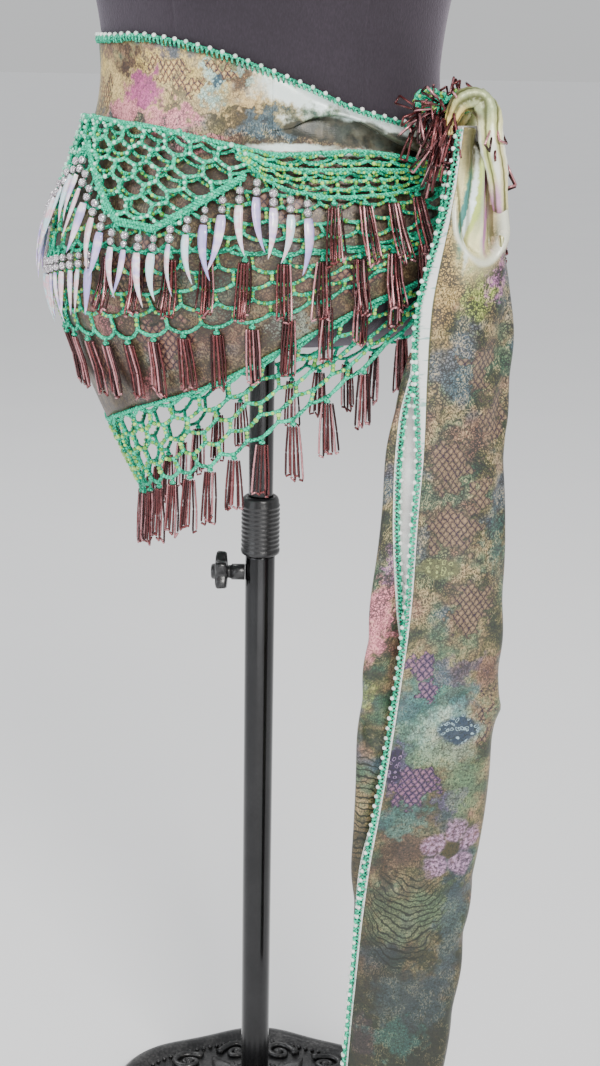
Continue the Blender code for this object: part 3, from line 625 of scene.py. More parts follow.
    def flower(self, u, v, size, turn=0.0):
        """A flower: five round petals set round a dull centre, each mottled from deep to pale."""
        angles = [math.radians(turn + 72.0 * k) for k in range(5)]
        mask = self.patches([(u + 0.70 * size * math.cos(a), v + 0.70 * size * math.sin(a),
                              size * 0.40, size * 0.40, 1.0) for a in angles], 0.5, self.wavy)
        mottle = self.noise(300.0, 3.0, 0.7, at=self.flat).ramp(0.38, 0.60)
        self.lay(mask * (0.55 + mottle * 0.4),
                 self.mix(mottle, (0.25, 0.13, 0.24), (0.56, 0.40, 0.57)))
        self.lay(self.blot((u, v), (size * 0.34, size * 0.30)) * 0.9, (0.12, 0.105, 0.055))

    def specks(self, weight):
        """Fine dark grain, finer than the lace."""
        grain = self.noise(520.0, 3.0, 0.7, at=self.flat).ramp(0.50, 0.64)
        self.lay(grain * weight, (0.045, 0.055, 0.045))

    def ripples(self, mask, middle, pitch, curl=23.0):
        """Hanging lines at even heights: each is a parabola with its lowest point at the middle."""
        across, up = self.axes(self.wavy)
        off = across - middle
        line = ((up - off * off * curl) / pitch).math("PINGPONG", 0.5).ramp(0.19, 0.07)
        self.lay(mask * line * 0.85, (0.030, 0.036, 0.026))

    def finish(self):
        """Satin floats, their broken gloss, and the ink."""
        weave = self.noise(1500.0, 2.0, at=self.place(source=self.flat, scale=(0.3, 1.0, 1.0)))
        slack = self.noise(70.0, 3.0, at=self.place(source=self.flat, scale=(1.0, 0.35, 1.0)))
        self.lay(weave.ramp(0.2, 0.8) * 0.22, (0.9, 0.85, 0.6), "OVERLAY")
        rich = self.node("ShaderNodeGamma", None, {0: self.colour, 1: 1.45})
        self.feed(Base_Color=rich, Roughness=0.27 + weave * 0.12 + slack * 0.12,
                  Normal=self.bump(weave * 0.15 + slack, 0.0016, 0.5))
        return self.material


def reverse_paint():
    """The satin's unprinted back: white, a little grey in the weave."""
    p = Paint("satin_reverse", Sheen_Weight=0.2)
    weave = p.noise(1200.0, 2.0)
    cloud = p.noise(30.0, 2.0)
    p.feed(Base_Color=p.mix((weave * 0.4 + cloud * 0.6).ramp(0.3, 0.7), (0.60, 0.56, 0.55),
                            (0.86, 0.84, 0.83)),
           Roughness=0.34 + weave * 0.15, Normal=p.bump(weave, 0.0003, 0.5))
    return p.material


WRAP_SCALES = (    # angle, height, half width and height
    (-36.0, 0.881, 0.020, 0.007), (-27.0, 0.869, 0.012, 0.010), (-14.0, 0.878, 0.009, 0.008),
    (-70.0, 0.862, 0.016, 0.010), (-95.0, 0.872, 0.026, 0.012), (-150.0, 0.870, 0.030, 0.015),
    (-28.0, 0.700, 0.020, 0.016), (-58.0, 0.672, 0.016, 0.020), (-36.0, 0.752, 0.022, 0.014),
    (-120.0, 0.700, 0.030, 0.020), (-90.0, 0.760, 0.020, 0.020), (2.0, 0.792, 0.022, 0.012),
    (22.0, 0.748, 0.018, 0.010), (-240.0, 0.840, 0.030, 0.020), (-200.0, 0.730, 0.030, 0.020),
    (-260.0, 0.780, 0.022, 0.014), (-165.0, 0.780, 0.026, 0.018))
WRAP_WASHES = {    # colour: rows of angle, height, half width and height, strength
    "gold": ((-40.0, 0.868, 0.12, 0.022, 0.65), (-64.0, 0.868, 0.04, 0.016, 0.85),
            (-26.0, 0.866, 0.034, 0.012, 0.7), (-8.0, 0.864, 0.02, 0.01, 0.5),
            (-110.0, 0.872, 0.05, 0.02, 0.6)),
    "amber": ((-38.0, 0.882, 0.03, 0.008, 1.0), (-74.0, 0.872, 0.01, 0.022, 0.8)),
    "umber": ((-52.0, 0.884, 0.016, 0.008, 0.95), (-9.0, 0.875, 0.008, 0.009, 0.8),
            (-55.0, 0.8, 0.03, 0.02, 0.5), (-10.0, 0.8, 0.03, 0.02, 0.5), (30.0, 0.79, 0.03, 0.02, 0.5),
            (-45.0, 0.69, 0.014, 0.02, 0.5)),
    # painted shade in the band above the nets
    "shade": ((-33.0, 0.858, 0.016, 0.004, 0.6), (-12.0, 0.852, 0.026, 0.004, 0.7)),
    "magenta": ((-45.0, 0.864, 0.019, 0.01, 1.0),),
    "pink": ((-33.0, 0.846, 0.026, 0.007, 0.9), (-52.0, 0.85, 0.026, 0.007, 0.9),
            (-20.0, 0.836, 0.02, 0.005, 0.8), (-20.0, 0.662, 0.01, 0.012, 0.8),
            (-50.0, 0.712, 0.016, 0.014, 0.8), (-130.0, 0.85, 0.02, 0.015, 0.8),
            (-36.0, 0.668, 0.012, 0.01, 0.8)),
    "mint": ((-16.5, 0.872, 0.011, 0.011, 1.0), (-7.0, 0.88, 0.018, 0.004, 0.8),
            (6.0, 0.712, 0.018, 0.008, 0.9), (-62.0, 0.69, 0.012, 0.01, 0.8)),
    "slate": ((-1.0, 0.844, 0.024, 0.008, 0.9),),
    "teal": ((-15.0, 0.735, 0.022, 0.016, 0.7), (-75.0, 0.71, 0.02, 0.02, 0.7),
            (-260.0, 0.8, 0.03, 0.02, 0.7), (-175.0, 0.7, 0.03, 0.018, 0.6)),
    # painted highlight: a small glare of gloss low on the front of the wrap
    "glare": ((-30.0, 0.69, 0.01, 0.01, 0.9),)}
FOLD_WASHES = {    # the same columns: painted highlights, the gloss of the billow by the knot
    "glare": ((9.0, 0.868, 0.032, 0.012, 0.9), (22.0, 0.864, 0.036, 0.014, 0.97),
            (36.0, 0.852, 0.034, 0.016, 0.95))}
# painted highlights: thin strips of gloss on the band just above the nets
HEM_GLEAM = {
    "glare": ((6.0, 0.8305, 0.03, 0.0026, 0.9), (24.0, 0.8275, 0.03, 0.0024, 0.8))}
GOLD_ABOVE = 0.86    # the height from which the reptile skin is gold
LENS = (    # angle, height, half width and height of the shade under the billow's lip
    (9.0, 0.8430, 0.012, 0.0050), (17.0, 0.8430, 0.018, 0.0080), (26.0, 0.8400, 0.020, 0.0085),
    (36.0, 0.8340, 0.018, 0.0070), (45.0, 0.8270, 0.014, 0.0060))
WASH = {    # linear colours. glare is a painted highlight, shade is painted shade
    "pink": (0.97, 0.42, 0.52), "mint": (0.60, 0.78, 0.72), "glare": (0.88, 0.98, 0.96),
    "slate": (0.16, 0.24, 0.30), "teal": (0.12, 0.33, 0.32), "umber": (0.17, 0.105, 0.080),
    "orchid": (0.62, 0.32, 0.60), "gold": (0.97, 0.75, 0.40), "navy": (0.050, 0.085, 0.140),
    "shade": (0.060, 0.066, 0.044), "magenta": (0.64, 0.20, 0.42), "tan": (0.62, 0.46, 0.22),
    "amber": (0.96, 0.74, 0.30), "sage": (0.26, 0.36, 0.23), "violet": (0.20, 0.15, 0.32),
    "lime": (0.52, 0.64, 0.20), "straw": (0.97, 0.93, 0.60)}
SCALE_WIDTH = 0.0052    # of one lozenge of the reptile skin


def by_angle(rows):
    """Rows whose first column is an angle round the hips, with metres along the sash instead."""
    return [(angle * DEGREE, *rest) for angle, *rest in rows]


def washes_by_angle(washes):
    """The same for each colour's rows."""
    return {colour: by_angle(rows) for colour, rows in washes.items()}


def wrap_print():
    """The stretch round the hips: u is angle times DEGREE, v is the height."""
    p = Print("printed_satin_wrap", 0.0, washes_by_angle(WRAP_WASHES),
              lambda one: 1.0 - one.axes(one.torn)[1].ramp(0.838, 0.852) * 0.5)
    # painted shade: the satin is darker below the top of the nets, which shade it
    p.lay(p.axes(p.torn)[1].ramp(0.842, 0.828) * 0.5, (0.16, 0.095, 0.075))
    for gold, shades in ((False, ((0.50, 0.32, 0.26), (0.24, 0.14, 0.12))),
                         (True, ((0.88, 0.72, 0.38), (0.46, 0.28, 0.15)))):
        alike = [(*row, 1.0) for row in WRAP_SCALES if (row[1] > GOLD_ABOVE) == gold]
        p.scales(p.patches(by_angle(alike)), *shades)
    p.rings(p.blot((-16.5 * DEGREE, 0.871), (0.0045, 0.0050)), (0.55, 0.72, 0.72),
            (0.05, 0.13, 0.20))
    p.specks(0.40)
    # painted highlights on the billow and on the band just above the nets
    p.wash(washes_by_angle(FOLD_WASHES), 0.9)
    p.wash(washes_by_angle(HEM_GLEAM), 0.8, p.crinkled)
    # painted shade in the lens under the billow's lip
    lens = p.patches(by_angle((*row, 1.0) for row in LENS), 0.3, p.crinkled)
    cloud = p.noise(110.0, 3.0, at=p.flat).ramp(0.4, 0.6)
    p.lay(lens * 0.88, p.mix(cloud, (0.028, 0.038, 0.026), (0.115, 0.105, 0.072)))
    p.ripples(p.blot((-30.0 * DEGREE, 0.730), (0.024, 0.018)), -0.07, 0.0046)
    p.flower(-170 * DEGREE, 0.820, 0.026)
    p.flower(-100 * DEGREE, 0.660, 0.024)
    return p.finish()


TAIL_SCALES = (    # u, v, half width and height, whether it is purple
    (0.019, 0.622, 0.015, 0.021, 0), (0.024, 0.572, 0.018, 0.019, 0), (0.043, 0.513, 0.015, 0.020, 0),
    (0.052, 0.652, 0.009, 0.022, 0), (0.036, 0.690, 0.010, 0.018, 0), (0.046, 0.598, 0.008, 0.014, 0),
    (0.012, 0.470, 0.008, 0.010, 1), (0.020, 0.452, 0.007, 0.008, 1), (0.021, 0.377, 0.016, 0.014, 1),
    (0.070, 0.430, 0.004, 0.026, 0), (0.118, 0.550, 0.020, 0.030, 0), (0.130, 0.400, 0.020, 0.024, 1),
    (0.150, 0.620, 0.016, 0.026, 0), (0.105, 0.280, 0.020, 0.026, 0), (0.185, 0.420, 0.008, 0.020, 0))
KNOT_WASHES = {    # colour: rows of u, v, half width and height, strength
    # the second straw row is a painted highlight down the front edge
    "straw": ((0.026, 0.812, 0.022, 0.056, 0.95), (0.003, 0.815, 0.0032, 0.024, 0.8)),
    # painted shade under the arch: this umber row and the shade row below
    "umber": ((0.018, 0.834, 0.015, 0.02, 0.9),),
    "lime": ((0.015, 0.812, 0.008, 0.01, 0.6), (0.019, 0.805, 0.0034, 0.028, 0.9)),
    "shade": ((0.02, 0.838, 0.016, 0.012, 0.75),),
    "sage": ((0.024, 0.812, 0.004, 0.032, 0.7),),
    "teal": ((0.01, 0.797, 0.003, 0.03, 1.0),),
    "orchid": ((0.028, 0.815, 0.0036, 0.024, 1.0), (0.034, 0.782, 0.0044, 0.016, 1.0)),
    # painted highlight along a ridge inside the pouch
    "glare": ((0.0148, 0.795, 0.0022, 0.034, 1.0),)}
TAIL_WASHES = {    # the same columns
    "navy": ((0.058, 0.18, 0.016, 0.04, 0.8), (0.024, 0.225, 0.016, 0.022, 0.6),
            (0.07, 0.3, 0.01, 0.03, 0.7), (0.04, 0.13, 0.03, 0.012, 0.7),
            (0.16, 0.25, 0.02, 0.05, 0.6)),
    "umber": ((0.012, 0.3, 0.008, 0.04, 0.7), (0.205, 0.31, 0.012, 0.03, 0.5)),
    "tan": ((0.006, 0.78, 0.016, 0.07, 0.85),),
    "orchid": ((0.044, 0.748, 0.008, 0.014, 0.8), (0.01, 0.168, 0.01, 0.016, 0.8),
            (0.2, 0.545, 0.01, 0.012, 0.7)),
    "lime": ((0.03, 0.735, 0.012, 0.014, 0.7), (0.19, 0.44, 0.014, 0.016, 0.5)),
    # painted shade: the lower part of the hanging end is darker
    "shade": ((0.03, 0.15, 0.08, 0.09, 0.9), (0.035, 0.255, 0.08, 0.05, 0.6),
            (0.15, 0.2, 0.08, 0.12, 0.7), (0.02, 0.345, 0.04, 0.05, 0.45)),
    "teal": ((0.028, 0.445, 0.03, 0.018, 0.65), (0.01, 0.41, 0.014, 0.024, 0.5),
            (0.016, 0.35, 0.018, 0.014, 0.6), (0.036, 0.172, 0.022, 0.014, 0.4),
            (0.062, 0.56, 0.01, 0.02, 0.5), (0.11, 0.47, 0.03, 0.03, 0.5)),
    "mint": ((0.04, 0.415, 0.026, 0.02, 0.5),),
    "violet": ((0.04, 0.465, 0.02, 0.01, 0.5), (0.004, 0.393, 0.008, 0.016, 0.85),
            (0.05, 0.363, 0.009, 0.01, 0.85)),
    "sage": ((0.036, 0.4, 0.03, 0.012, 0.5), (0.06, 0.375, 0.016, 0.024, 0.55),
            (0.034, 0.27, 0.03, 0.02, 0.5), (0.014, 0.545, 0.016, 0.012, 0.55),
            (0.14, 0.33, 0.03, 0.04, 0.5)),
    "slate": ((0.045, 0.205, 0.03, 0.02, 0.35), (0.07, 0.26, 0.012, 0.04, 0.45)),
    "pink": ((0.195, 0.5, 0.012, 0.03, 0.9),)}


def tail_print():
    """The hanging end: u is metres across from its front edge, v is the height.

    The points' tint is 1 on the print, more for a painted highlight on the pouch's lip and ridges,
    less for painted shade in its folds and under the arch, 0 on a hem.
    """
    def laced(one):
        height = one.axes(one.torn)[1]
        return height.ramp(0.850, 0.800) * (0.55 + height.ramp(0.42, 0.56) * 0.45)

    p = Print("printed_satin_tail", 7.0, TAIL_WASHES, laced)
    purple_shades = ((0.46, 0.27, 0.38), (0.20, 0.12, 0.24), (0.04, 0.03, 0.09))
    for purple, shades in ((0, ()), (1, purple_shades)):
        p.scales(p.patches([(*row[:4], 1.0) for row in TAIL_SCALES if row[4] == purple]), *shades)
    p.rings(p.blot((0.048, 0.420), (0.016, 0.011)))
    p.rings(p.blot((0.004, 0.393), (0.007, 0.013)), (0.34, 0.26, 0.40), (0.05, 0.035, 0.09))
    p.rings(p.blot((0.017, 0.545), (0.015, 0.008)), (0.46, 0.50, 0.26), (0.20, 0.21, 0.12))
    for flower in ((0.060, 0.324, 0.023, 20.0), (0.150, 0.500, 0.024, 50.0),
                   (0.120, 0.215, 0.024, 10.0)):
        p.flower(*flower)
    p.ripples(p.blot((0.030, 0.268), (0.030, 0.040), ragged=0.5), 0.034, 0.0052)
    p.ripples(p.blot((0.207, 0.355), (0.014, 0.045), ragged=0.5), 0.200, 0.0050, -12.0)
    p.specks(0.80 - p.axes(p.torn)[1].ramp(0.36, 0.50) * 0.25)
    p.wash(KNOT_WASHES, 0.8, p.crinkled)
    # painted highlight where the tint is over 1, painted shade where it is under 1
    p.lay(p.tint().ramp(1.05, 2.0) * 0.85, (0.82, 0.84, 0.74))
    p.lay(p.tint().ramp(0.95, 0.68) * 0.75, (0.125, 0.125, 0.045))
    flecks = p.noise(260.0, 3.0, at=p.flat).ramp(0.56, 0.64)
    p.lay(p.tint().ramp(0.55, 0.35), p.mix(flecks, (0.84, 0.86, 0.85), (0.42, 0.60, 0.58)))
    return p.finish()


def knot_print():
    """The knot: u is metres sideways from its middle, v is metres up."""
    p = Print("printed_satin_knot", 3.0, {"straw": ((0.0, 0.0, 0.050, 0.100, 0.75),)},
              lambda one: 0.10)
    p.wash({"amber": ((-0.012, 0.020, 0.010, 0.016, 0.8),),
            "sage": ((0.006, 0.034, 0.020, 0.010, 0.6),),
            "umber": ((-0.002, 0.026, 0.008, 0.004, 0.7),),
            "lime": ((0.012, 0.004, 0.004, 0.020, 0.5),),
            "orchid": ((0.017, -0.034, 0.004, 0.018, 0.8),)}, 0.8, p.crinkled)
    # painted shade between the folds where the tint is low, painted highlight on the ridges where it is
    # high
    p.lay(p.tint().ramp(0.36, 0.02) * 0.85, (0.115, 0.125, 0.035))
    p.lay(p.tint().ramp(0.50, 0.95) * 0.92, (0.90, 0.92, 0.82))
    return p.finish()


wrap_satin, tail_satin, knot_satin, reverse = wrap_print(), tail_print(), knot_print(), reverse_paint()
print("nodes in the wrap's print", len(wrap_satin.node_tree.nodes))

# %% [markdown]
# ## The satin round the hips
# The sash is one strip pulled round the hips, so it has soft diagonal slack where it runs up to
# the knot. A grid over angle and height follows the hips; waves are added outwards only, and they
# die away under the nets. Solidify gives it a wall, with the unprinted side inwards.

# %% Satin wrap
def cloth(name, grid, quads, tint, paints, flat, stands_for=(), thickness=0.0006):
    """A sheet on the form, printed by its flat coordinates, with a wall inwards.

    The second material is on the inside and the rims.
    """
    seams = None if flat is None else np.stack(np.broadcast_arrays(*flat), -1)
    made = put(name, [(grid, quads, tint)], paints, "form", stands_for, seams)
    wall = made.modifiers.new("wall", "SOLIDIFY")
    wall.thickness, wall.offset = thickness, -1.0
    wall.material_offset, wall.material_offset_rim = 1, 1
    return made


def bell(x, centre, width):
    """A smooth bump of 1 at a centre: exp of minus the distance squared."""
    return np.exp(-((x - centre) / width) ** 2)


def grow(x, start, over, least=0.0):
    """Least before start and 1 when over past it, and a straight line between."""
    return np.clip((x - start) / over, least, 1.0)


def slack(angle, height):
    """How far the satin stands off the hips, in metres: slanting folds that gather at the knot."""
    rim, net = edge(RIM, angle), edge(BAND, angle)
    free = grow(height, net, 0.012)
    free *= grow(rim, height, 0.006, 0.25)
    near = bell(angle, 34.0, 42.0)
    slant = (height - rim) * 1000 / 11.0 + angle * 0.035
    folds = 0.5 + 0.5 * np.sin(2.1 * slant + 0.8 * np.sin(angle / 17.0))
    round_back = 0.5 + 0.5 * np.sin(angle * 0.11 + 30.0 * height)
    return free * (0.0022 * near * folds + 0.0010 * round_back)


AROUND, DOWN = 300, 39
angles, steps = np.meshgrid(np.arange(AROUND) * 360.0 / AROUND, np.linspace(0.0, 1.0, DOWN),
                            indexing="ij")
heights = edge(RIM, angles) * (1 - steps) + edge(HEM, angles) * steps
ripple = 0.0004 * (1 + np.sin(angles * 0.29 + 90.0 * heights)) * np.clip(3 * steps - 1, 0, 1)
satin = hip(angles, heights, 0.0010 + slack(angles, heights) + ripple)
signed = (angles - JOIN) % 360.0 + JOIN - 360.0
hip_cloth = cloth("hip_satin", satin, grid_quads(AROUND, DOWN, closed_rows=True), 0.5,
                  [wrap_satin, reverse], (signed * DEGREE, heights), ["satin_wrap"])
print("hip satin height", round(float((heights[:, 0] - heights[:, -1]).mean()), 4))

# %% [markdown]
# The band's slack billows out as it runs up to the knot and turns under itself, so a pale roll
# overhangs a dark lens of shade. The roll's pale is a painted highlight, and the lens is painted
# shade as well as the roll's own shadow. The roll is one section carried along the rim. The section
# says how far down and how far out each point lies, and a table says where its lip hangs. It is the
# same strip of cloth, so it carries on the band's print by the same coordinates.

# %% Rolled fold
def through(points, count):
    """Even samples on a smooth curve through control points (Hermite, by index)."""
    rows = np.column_stack([np.arange(len(points)), points])
    return smooth(rows, np.linspace(0, len(points) - 1, count))


LIP = np.array((    # angle, height of the lip, how far the roll stands out
    (1.0, 0.8420, 0.0001), (3.0, 0.8425, 0.0004), (7.0, 0.8445, 0.0026), (12.0, 0.8495, 0.0058),
    (19.0, 0.8515, 0.0088), (25.0, 0.8490, 0.0100), (31.0, 0.8430, 0.0105), (38.0, 0.8350, 0.0105),
    (45.0, 0.8290, 0.0100), (52.0, 0.8240, 0.0090)))
ROLL = ((0.0, 0.02), (0.10, 0.42), (0.32, 0.78), (0.62, 0.98), (0.86, 1.0), (1.0, 0.80),
        (1.02, 0.55), (0.95, 0.30), (0.84, 0.10), (0.78, -0.05))    # down, out
ROLL_RINGS, ROLL_POINTS = 80, 32
fold_angle = np.linspace(LIP[0, 0], LIP[-1, 0], ROLL_RINGS)[:, None]
lip_height, fold_out = np.moveaxis(smooth(LIP, fold_angle), -1, 0)
fold_top = edge(RIM, fold_angle) - 0.0015
profile_down, profile_out = through(ROLL, ROLL_POINTS).T
wrinkle = 1.0 + 0.05 * np.sin(0.35 * fold_angle + 9.0 * profile_down)
roll_height = fold_top - profile_down * (fold_top - lip_height)
roll_out = 0.0014 + slack(fold_angle, roll_height) + profile_out * fold_out * wrinkle
cloth("rolled_fold", hip(fold_angle, roll_height, roll_out), grid_quads(ROLL_RINGS, ROLL_POINTS),
      0.5, [wrap_satin, wrap_satin], (fold_angle * DEGREE, roll_height), ["satin_fold"], 0.0005)
print("the roll stands out", round(float(fold_out.max()), 4))

# %% [markdown]
# ## The hanging end
# The sash falls from the knot as a flattened tube, open where its two long edges meet. Its section
# at each height is an ellipse run from the front edge to the back edge, and the back edge is
# tucked in behind. Creases are put in where the cloth bends: a sum of narrow ridges. Just
# under the knot a slack pouch sags open, with a raised lip and upright gathers inside. The lip and
# the gathers' ridges carry a painted highlight, and the folds and the cloth under the arch carry
# painted shade.

# %% Tail cloth
def tail_point(height, part, inset=0.0):
    """A point of the folded tube: part runs from the front edge (0) to the back edge (1)."""
    height, part = np.broadcast_arrays(height, np.asarray(part, float))
    x, y, wide, deep, front, back, turn, drop = np.moveaxis(smooth(TAIL, height), -1, 0)
    angle = np.radians(front + (back - front) * part)
    tuck = 1.0 - 0.7 * np.clip(-np.pi - angle, 0.0, 1.0)
    wave = 0.0012 * np.sin(4 * angle + 30 * height)
    across, depth = wide * np.cos(angle), -(deep * tuck + wave) * np.sin(angle)
    lean, rise = np.cos(np.radians(turn)), np.sin(np.radians(turn))
    point = np.stack([x + across * lean - depth * rise, y + across * rise + depth * lean,
                      height - drop * (1 + across / wide) / 2], -1)
    if np.any(inset):
        ahead = tail_point(height, part + 0.004) - tail_point(height, part - 0.004)
        normal = unit(np.cross(ahead, (0.0, 0.0, 1.0)))
        point = point + normal * np.asarray(inset)[..., None]
    return point


CREASES = (    # part and height of each end, width, depth: a ridge is positive, a fold negative
    (0.10, 0.475, 0.20, 0.440, 0.0040, 0.0035), (0.01, 0.425, 0.20, 0.452, 0.0045, -0.0035),
    (0.20, 0.440, 0.42, 0.420, 0.0060, 0.0018), (0.02, 0.330, 0.10, 0.290, 0.0045, -0.0030),
    (0.10, 0.290, 0.16, 0.330, 0.0050, -0.0022), (0.85, 0.420, 0.97, 0.405, 0.0050, -0.0030),
    (0.30, 0.720, 0.26, 0.560, 0.0080, -0.0022), (0.40, 0.760, 0.38, 0.640, 0.0060, 0.0022),
    (0.12, 0.800, 0.16, 0.690, 0.0060, 0.0026), (0.45, 0.250, 0.38, 0.130, 0.0070, 0.0020),
    (0.62, 0.620, 0.60, 0.480, 0.0080, -0.0022), (0.75, 0.300, 0.72, 0.160, 0.0080, -0.0022),
    (0.55, 0.400, 0.70, 0.370, 0.0060, 0.0022), (0.25, 0.200, 0.22, 0.130, 0.0060, -0.0018))


def creases(part, height):
    """Ridges and folds along short lines on the cloth, in metres across and up."""
    total = np.zeros(np.broadcast(part, height).shape)
    for part_a, high_a, part_b, high_b, wide, deep in CREASES:
        start = np.array([part_a * CREASE_SPAN, high_a])
        run = np.array([part_b * CREASE_SPAN, high_b]) - start
        length = np.hypot(*run)
        run /= length
        p, q = part * CREASE_SPAN - start[0], height - start[1]
        along = p * run[0] + q * run[1]
        off = q * run[0] - p * run[1]
        fade = np.clip(along / length, 0, 1) * np.clip(1 - along / length, 0, 1) * 4
        total += deep * np.sqrt(fade) * bell(off, 0.0, wide)
    return 1.4 * total


def back_end(height):
    """The part where the back edge lies: a little short of the solid's, more so behind the knot."""
    return 0.985 - 0.055 * grow(height, 0.685, 0.03)


CREASE_SPAN = 0.15    # metres of cloth to the whole way round, for the creases
TURNED_OUT = (        # heights, and how wide the front hem is there
    (0.62, 0.70, 0.73, 0.765, 0.80, 0.86), (0.0025, 0.0100, 0.0100, 0.0065, 0.0030, 0.0015))
BACK_HEM = 0.0025


def turned_hem(height, side, share):
    """A point on the hem that is turned out past an edge, share of the way across it."""
    part = back_end(height) if side else 0.0
    inner = part - 0.02 if side else 0.02
    edge_point = tail_point(height, part)
    into = unit(tail_point(height, inner) - edge_point)
    width = BACK_HEM if side else np.interp(height, *TURNED_OUT)
    return edge_point - into * np.asarray(width * share)[..., None], into


knot_x, knot_y, _ = hip(KNOT_ANGLE, KNOT_HEIGHT, 4 * LAYER + 0.0223)
TAIL_ROWS, TAIL_COLUMNS, FINE_ROWS = 230, 83, 79
FINE_ABOVE = 0.750                   # the rows are closer together above this height
POUCH_HALF, POUCH_TURN, POUCH_DEEP = 0.0150, -0.050, 0.0222    # half width, start and depth of the U
POUCH_TOP = 0.846                    # where the pouch comes out from under the knot
SHEET_FRONT = 0.5                    # parts below this face forwards


def pouch_distance(part, height):
    """How far outside the pouch's U-shaped lip a point lies: straight sides, then half an ellipse."""
    down = height - KNOT_HEIGHT
    off = tail_point(height, part)[..., 0] - knot_x + 0.0008 + 0.135 * down
    below = np.minimum(down - POUCH_TURN, 0.0)
    return (np.hypot(off / POUCH_HALF, below / POUCH_DEEP) - 1.0) * POUCH_HALF


def under_the_knot(part, height, lip):
    """How far the cloth stands out at the pouch: a raised lip, and gathers and a hollow inside."""
    inside = 1.0 / (1.0 + np.exp(lip / 0.0012))
    gathered = (0.0042 * bell(part, 0.19, 0.024) - 0.0032 * bell(part, 0.12, 0.026)
                - 0.0044 * bell(part, 0.27, 0.030) + 0.0040 * bell(part, 0.335, 0.022))
    hollow = -0.0095 * bell(part, 0.24, 0.13) * bell(height, POUCH_TOP, 0.015)
    raised = inside * (gathered - 0.0026) + 0.0050 * bell(lip, 0.0008, 0.0030)
    return raised * grow(height, POUCH_TOP, -0.014) * (part < SHEET_FRONT) + hollow


def shaded(part, height, lip):
    """The tint of the print: over 1 for a painted highlight on the pouch's lip and ridges, under 1 for
    painted shade in its folds and under the arch.
    """
    front, inside = part < SHEET_FRONT, lip < 0.0
    # pale is a painted highlight on two ridges of the gathers and along the lip
    pale = (0.9 * bell(part, 0.335, 0.017) + 0.6 * bell(part, 0.19, 0.014)) * inside
    pale = np.maximum(pale, bell(lip, 0.0006, 0.0020) * grow(height, 0.835, -0.03, 0.35))
    pale *= front * grow(height, POUCH_TOP, -0.010)
    # dark is painted shade in the folds and just inside the lip
    folds = bell(part, 0.270, 0.022) + 0.8 * bell(part, 0.120, 0.016) + bell(lip, -0.0030, 0.0014)
    dark = np.minimum(folds * inside, 1.0) * front * grow(height, 0.752, 0.03)
    # painted shade under the arch of the roll, which also takes the painted highlight away there
    arch_shadow = 1.10 * bell(part, 0.085, 0.085) * grow(height, 0.803, 0.022)
    dark = np.maximum(dark, arch_shadow)
    pale = pale * (1.0 - np.minimum(arch_shadow, 1.0))
    return 1.0 + np.where(pale > 0.25, pale, -0.30 * dark)


tail_heights = np.r_[np.linspace(TAIL[0, 0], FINE_ABOVE, FINE_ROWS + 1)[:-1],
                     np.linspace(FINE_ABOVE, TAIL[-1, 0], TAIL_ROWS - FINE_ROWS)][:, None]
tail_parts = np.linspace(0.0, 1.0, TAIL_COLUMNS)[None, :] * back_end(tail_heights)
ends = np.minimum(1.0, np.minimum(tail_parts, back_end(tail_heights) - tail_parts) / 0.04)
lip = pouch_distance(tail_parts, tail_heights)
lift = (creases(tail_parts, tail_heights) * ends + under_the_knot(tail_parts, tail_heights, lip) * ends
        + 0.0009 * np.sin(31.0 * tail_parts + 9.0 * np.sin(14.0 * tail_heights)) * ends)
tail_grid = tail_point(tail_heights, tail_parts, lift)
tail_grid[..., 2] -= 0.0095 * bell(tail_parts, 0.22, 0.085) * grow(tail_heights, 0.832, 0.015)
across_hem = np.array([[0.35, 0.7, 1.0]])
run = length_so_far(tail_grid)
tail_grid = np.concatenate([turned_hem(tail_heights, 0, across_hem[:, ::-1])[0], tail_grid,
                            turned_hem(tail_heights, 1, across_hem)[0]], 1)
hem_run = 0.002 * across_hem
run = np.concatenate([0 * run[:, :3] - hem_run[:, ::-1], run, run[:, -1:] + hem_run], 1)
tint = np.pad(shaded(tail_parts, tail_heights, lip), ((0, 0), (3, 3)))
tail_cloth = cloth("tail_satin", tail_grid, grid_quads(TAIL_ROWS, TAIL_COLUMNS + 6)[:, ::-1],
                   tint.ravel(), [tail_satin, reverse], (run, tail_heights), ["tail"])
print("tail width at its middle", round(float(run[TAIL_ROWS // 2, -1]), 3))

# %% The white reverse that shows between the two edges
INSIDE_TOP, INSIDE_FOOT, INSIDE_ROWS, INSIDE_COLUMNS = 0.748, 0.495, 80, 9
inside_heights = np.linspace(INSIDE_TOP, INSIDE_FOOT, INSIDE_ROWS)[:, None]
over = np.linspace(0.0, 1.0, INSIDE_COLUMNS)[None, :]
inside_fold = (turned_hem(inside_heights, 1, 1.0)[0] * (1 - over[..., None])
               + tail_point(inside_heights, 0.018) * over[..., None])
inside_fold[..., 1] += 0.0040 - 0.0012 * np.sin(np.pi * over)
cloth("tail_inside_fold", inside_fold, grid_quads(INSIDE_ROWS, INSIDE_COLUMNS), 0.5,
      [reverse, reverse], None)

# %% [markdown]
# ## Crochet edging
# Every long edge of the sash has a border worked in the same yarn: a firm cord, short stitches that
# bite into the satin, and a white bead on the outside of every fifth stitch.

# %% Edging along a line
EDGING_PITCH, EDGING_CORD, EDGING_BEAD = 0.0078, 0.00115, 0.0017


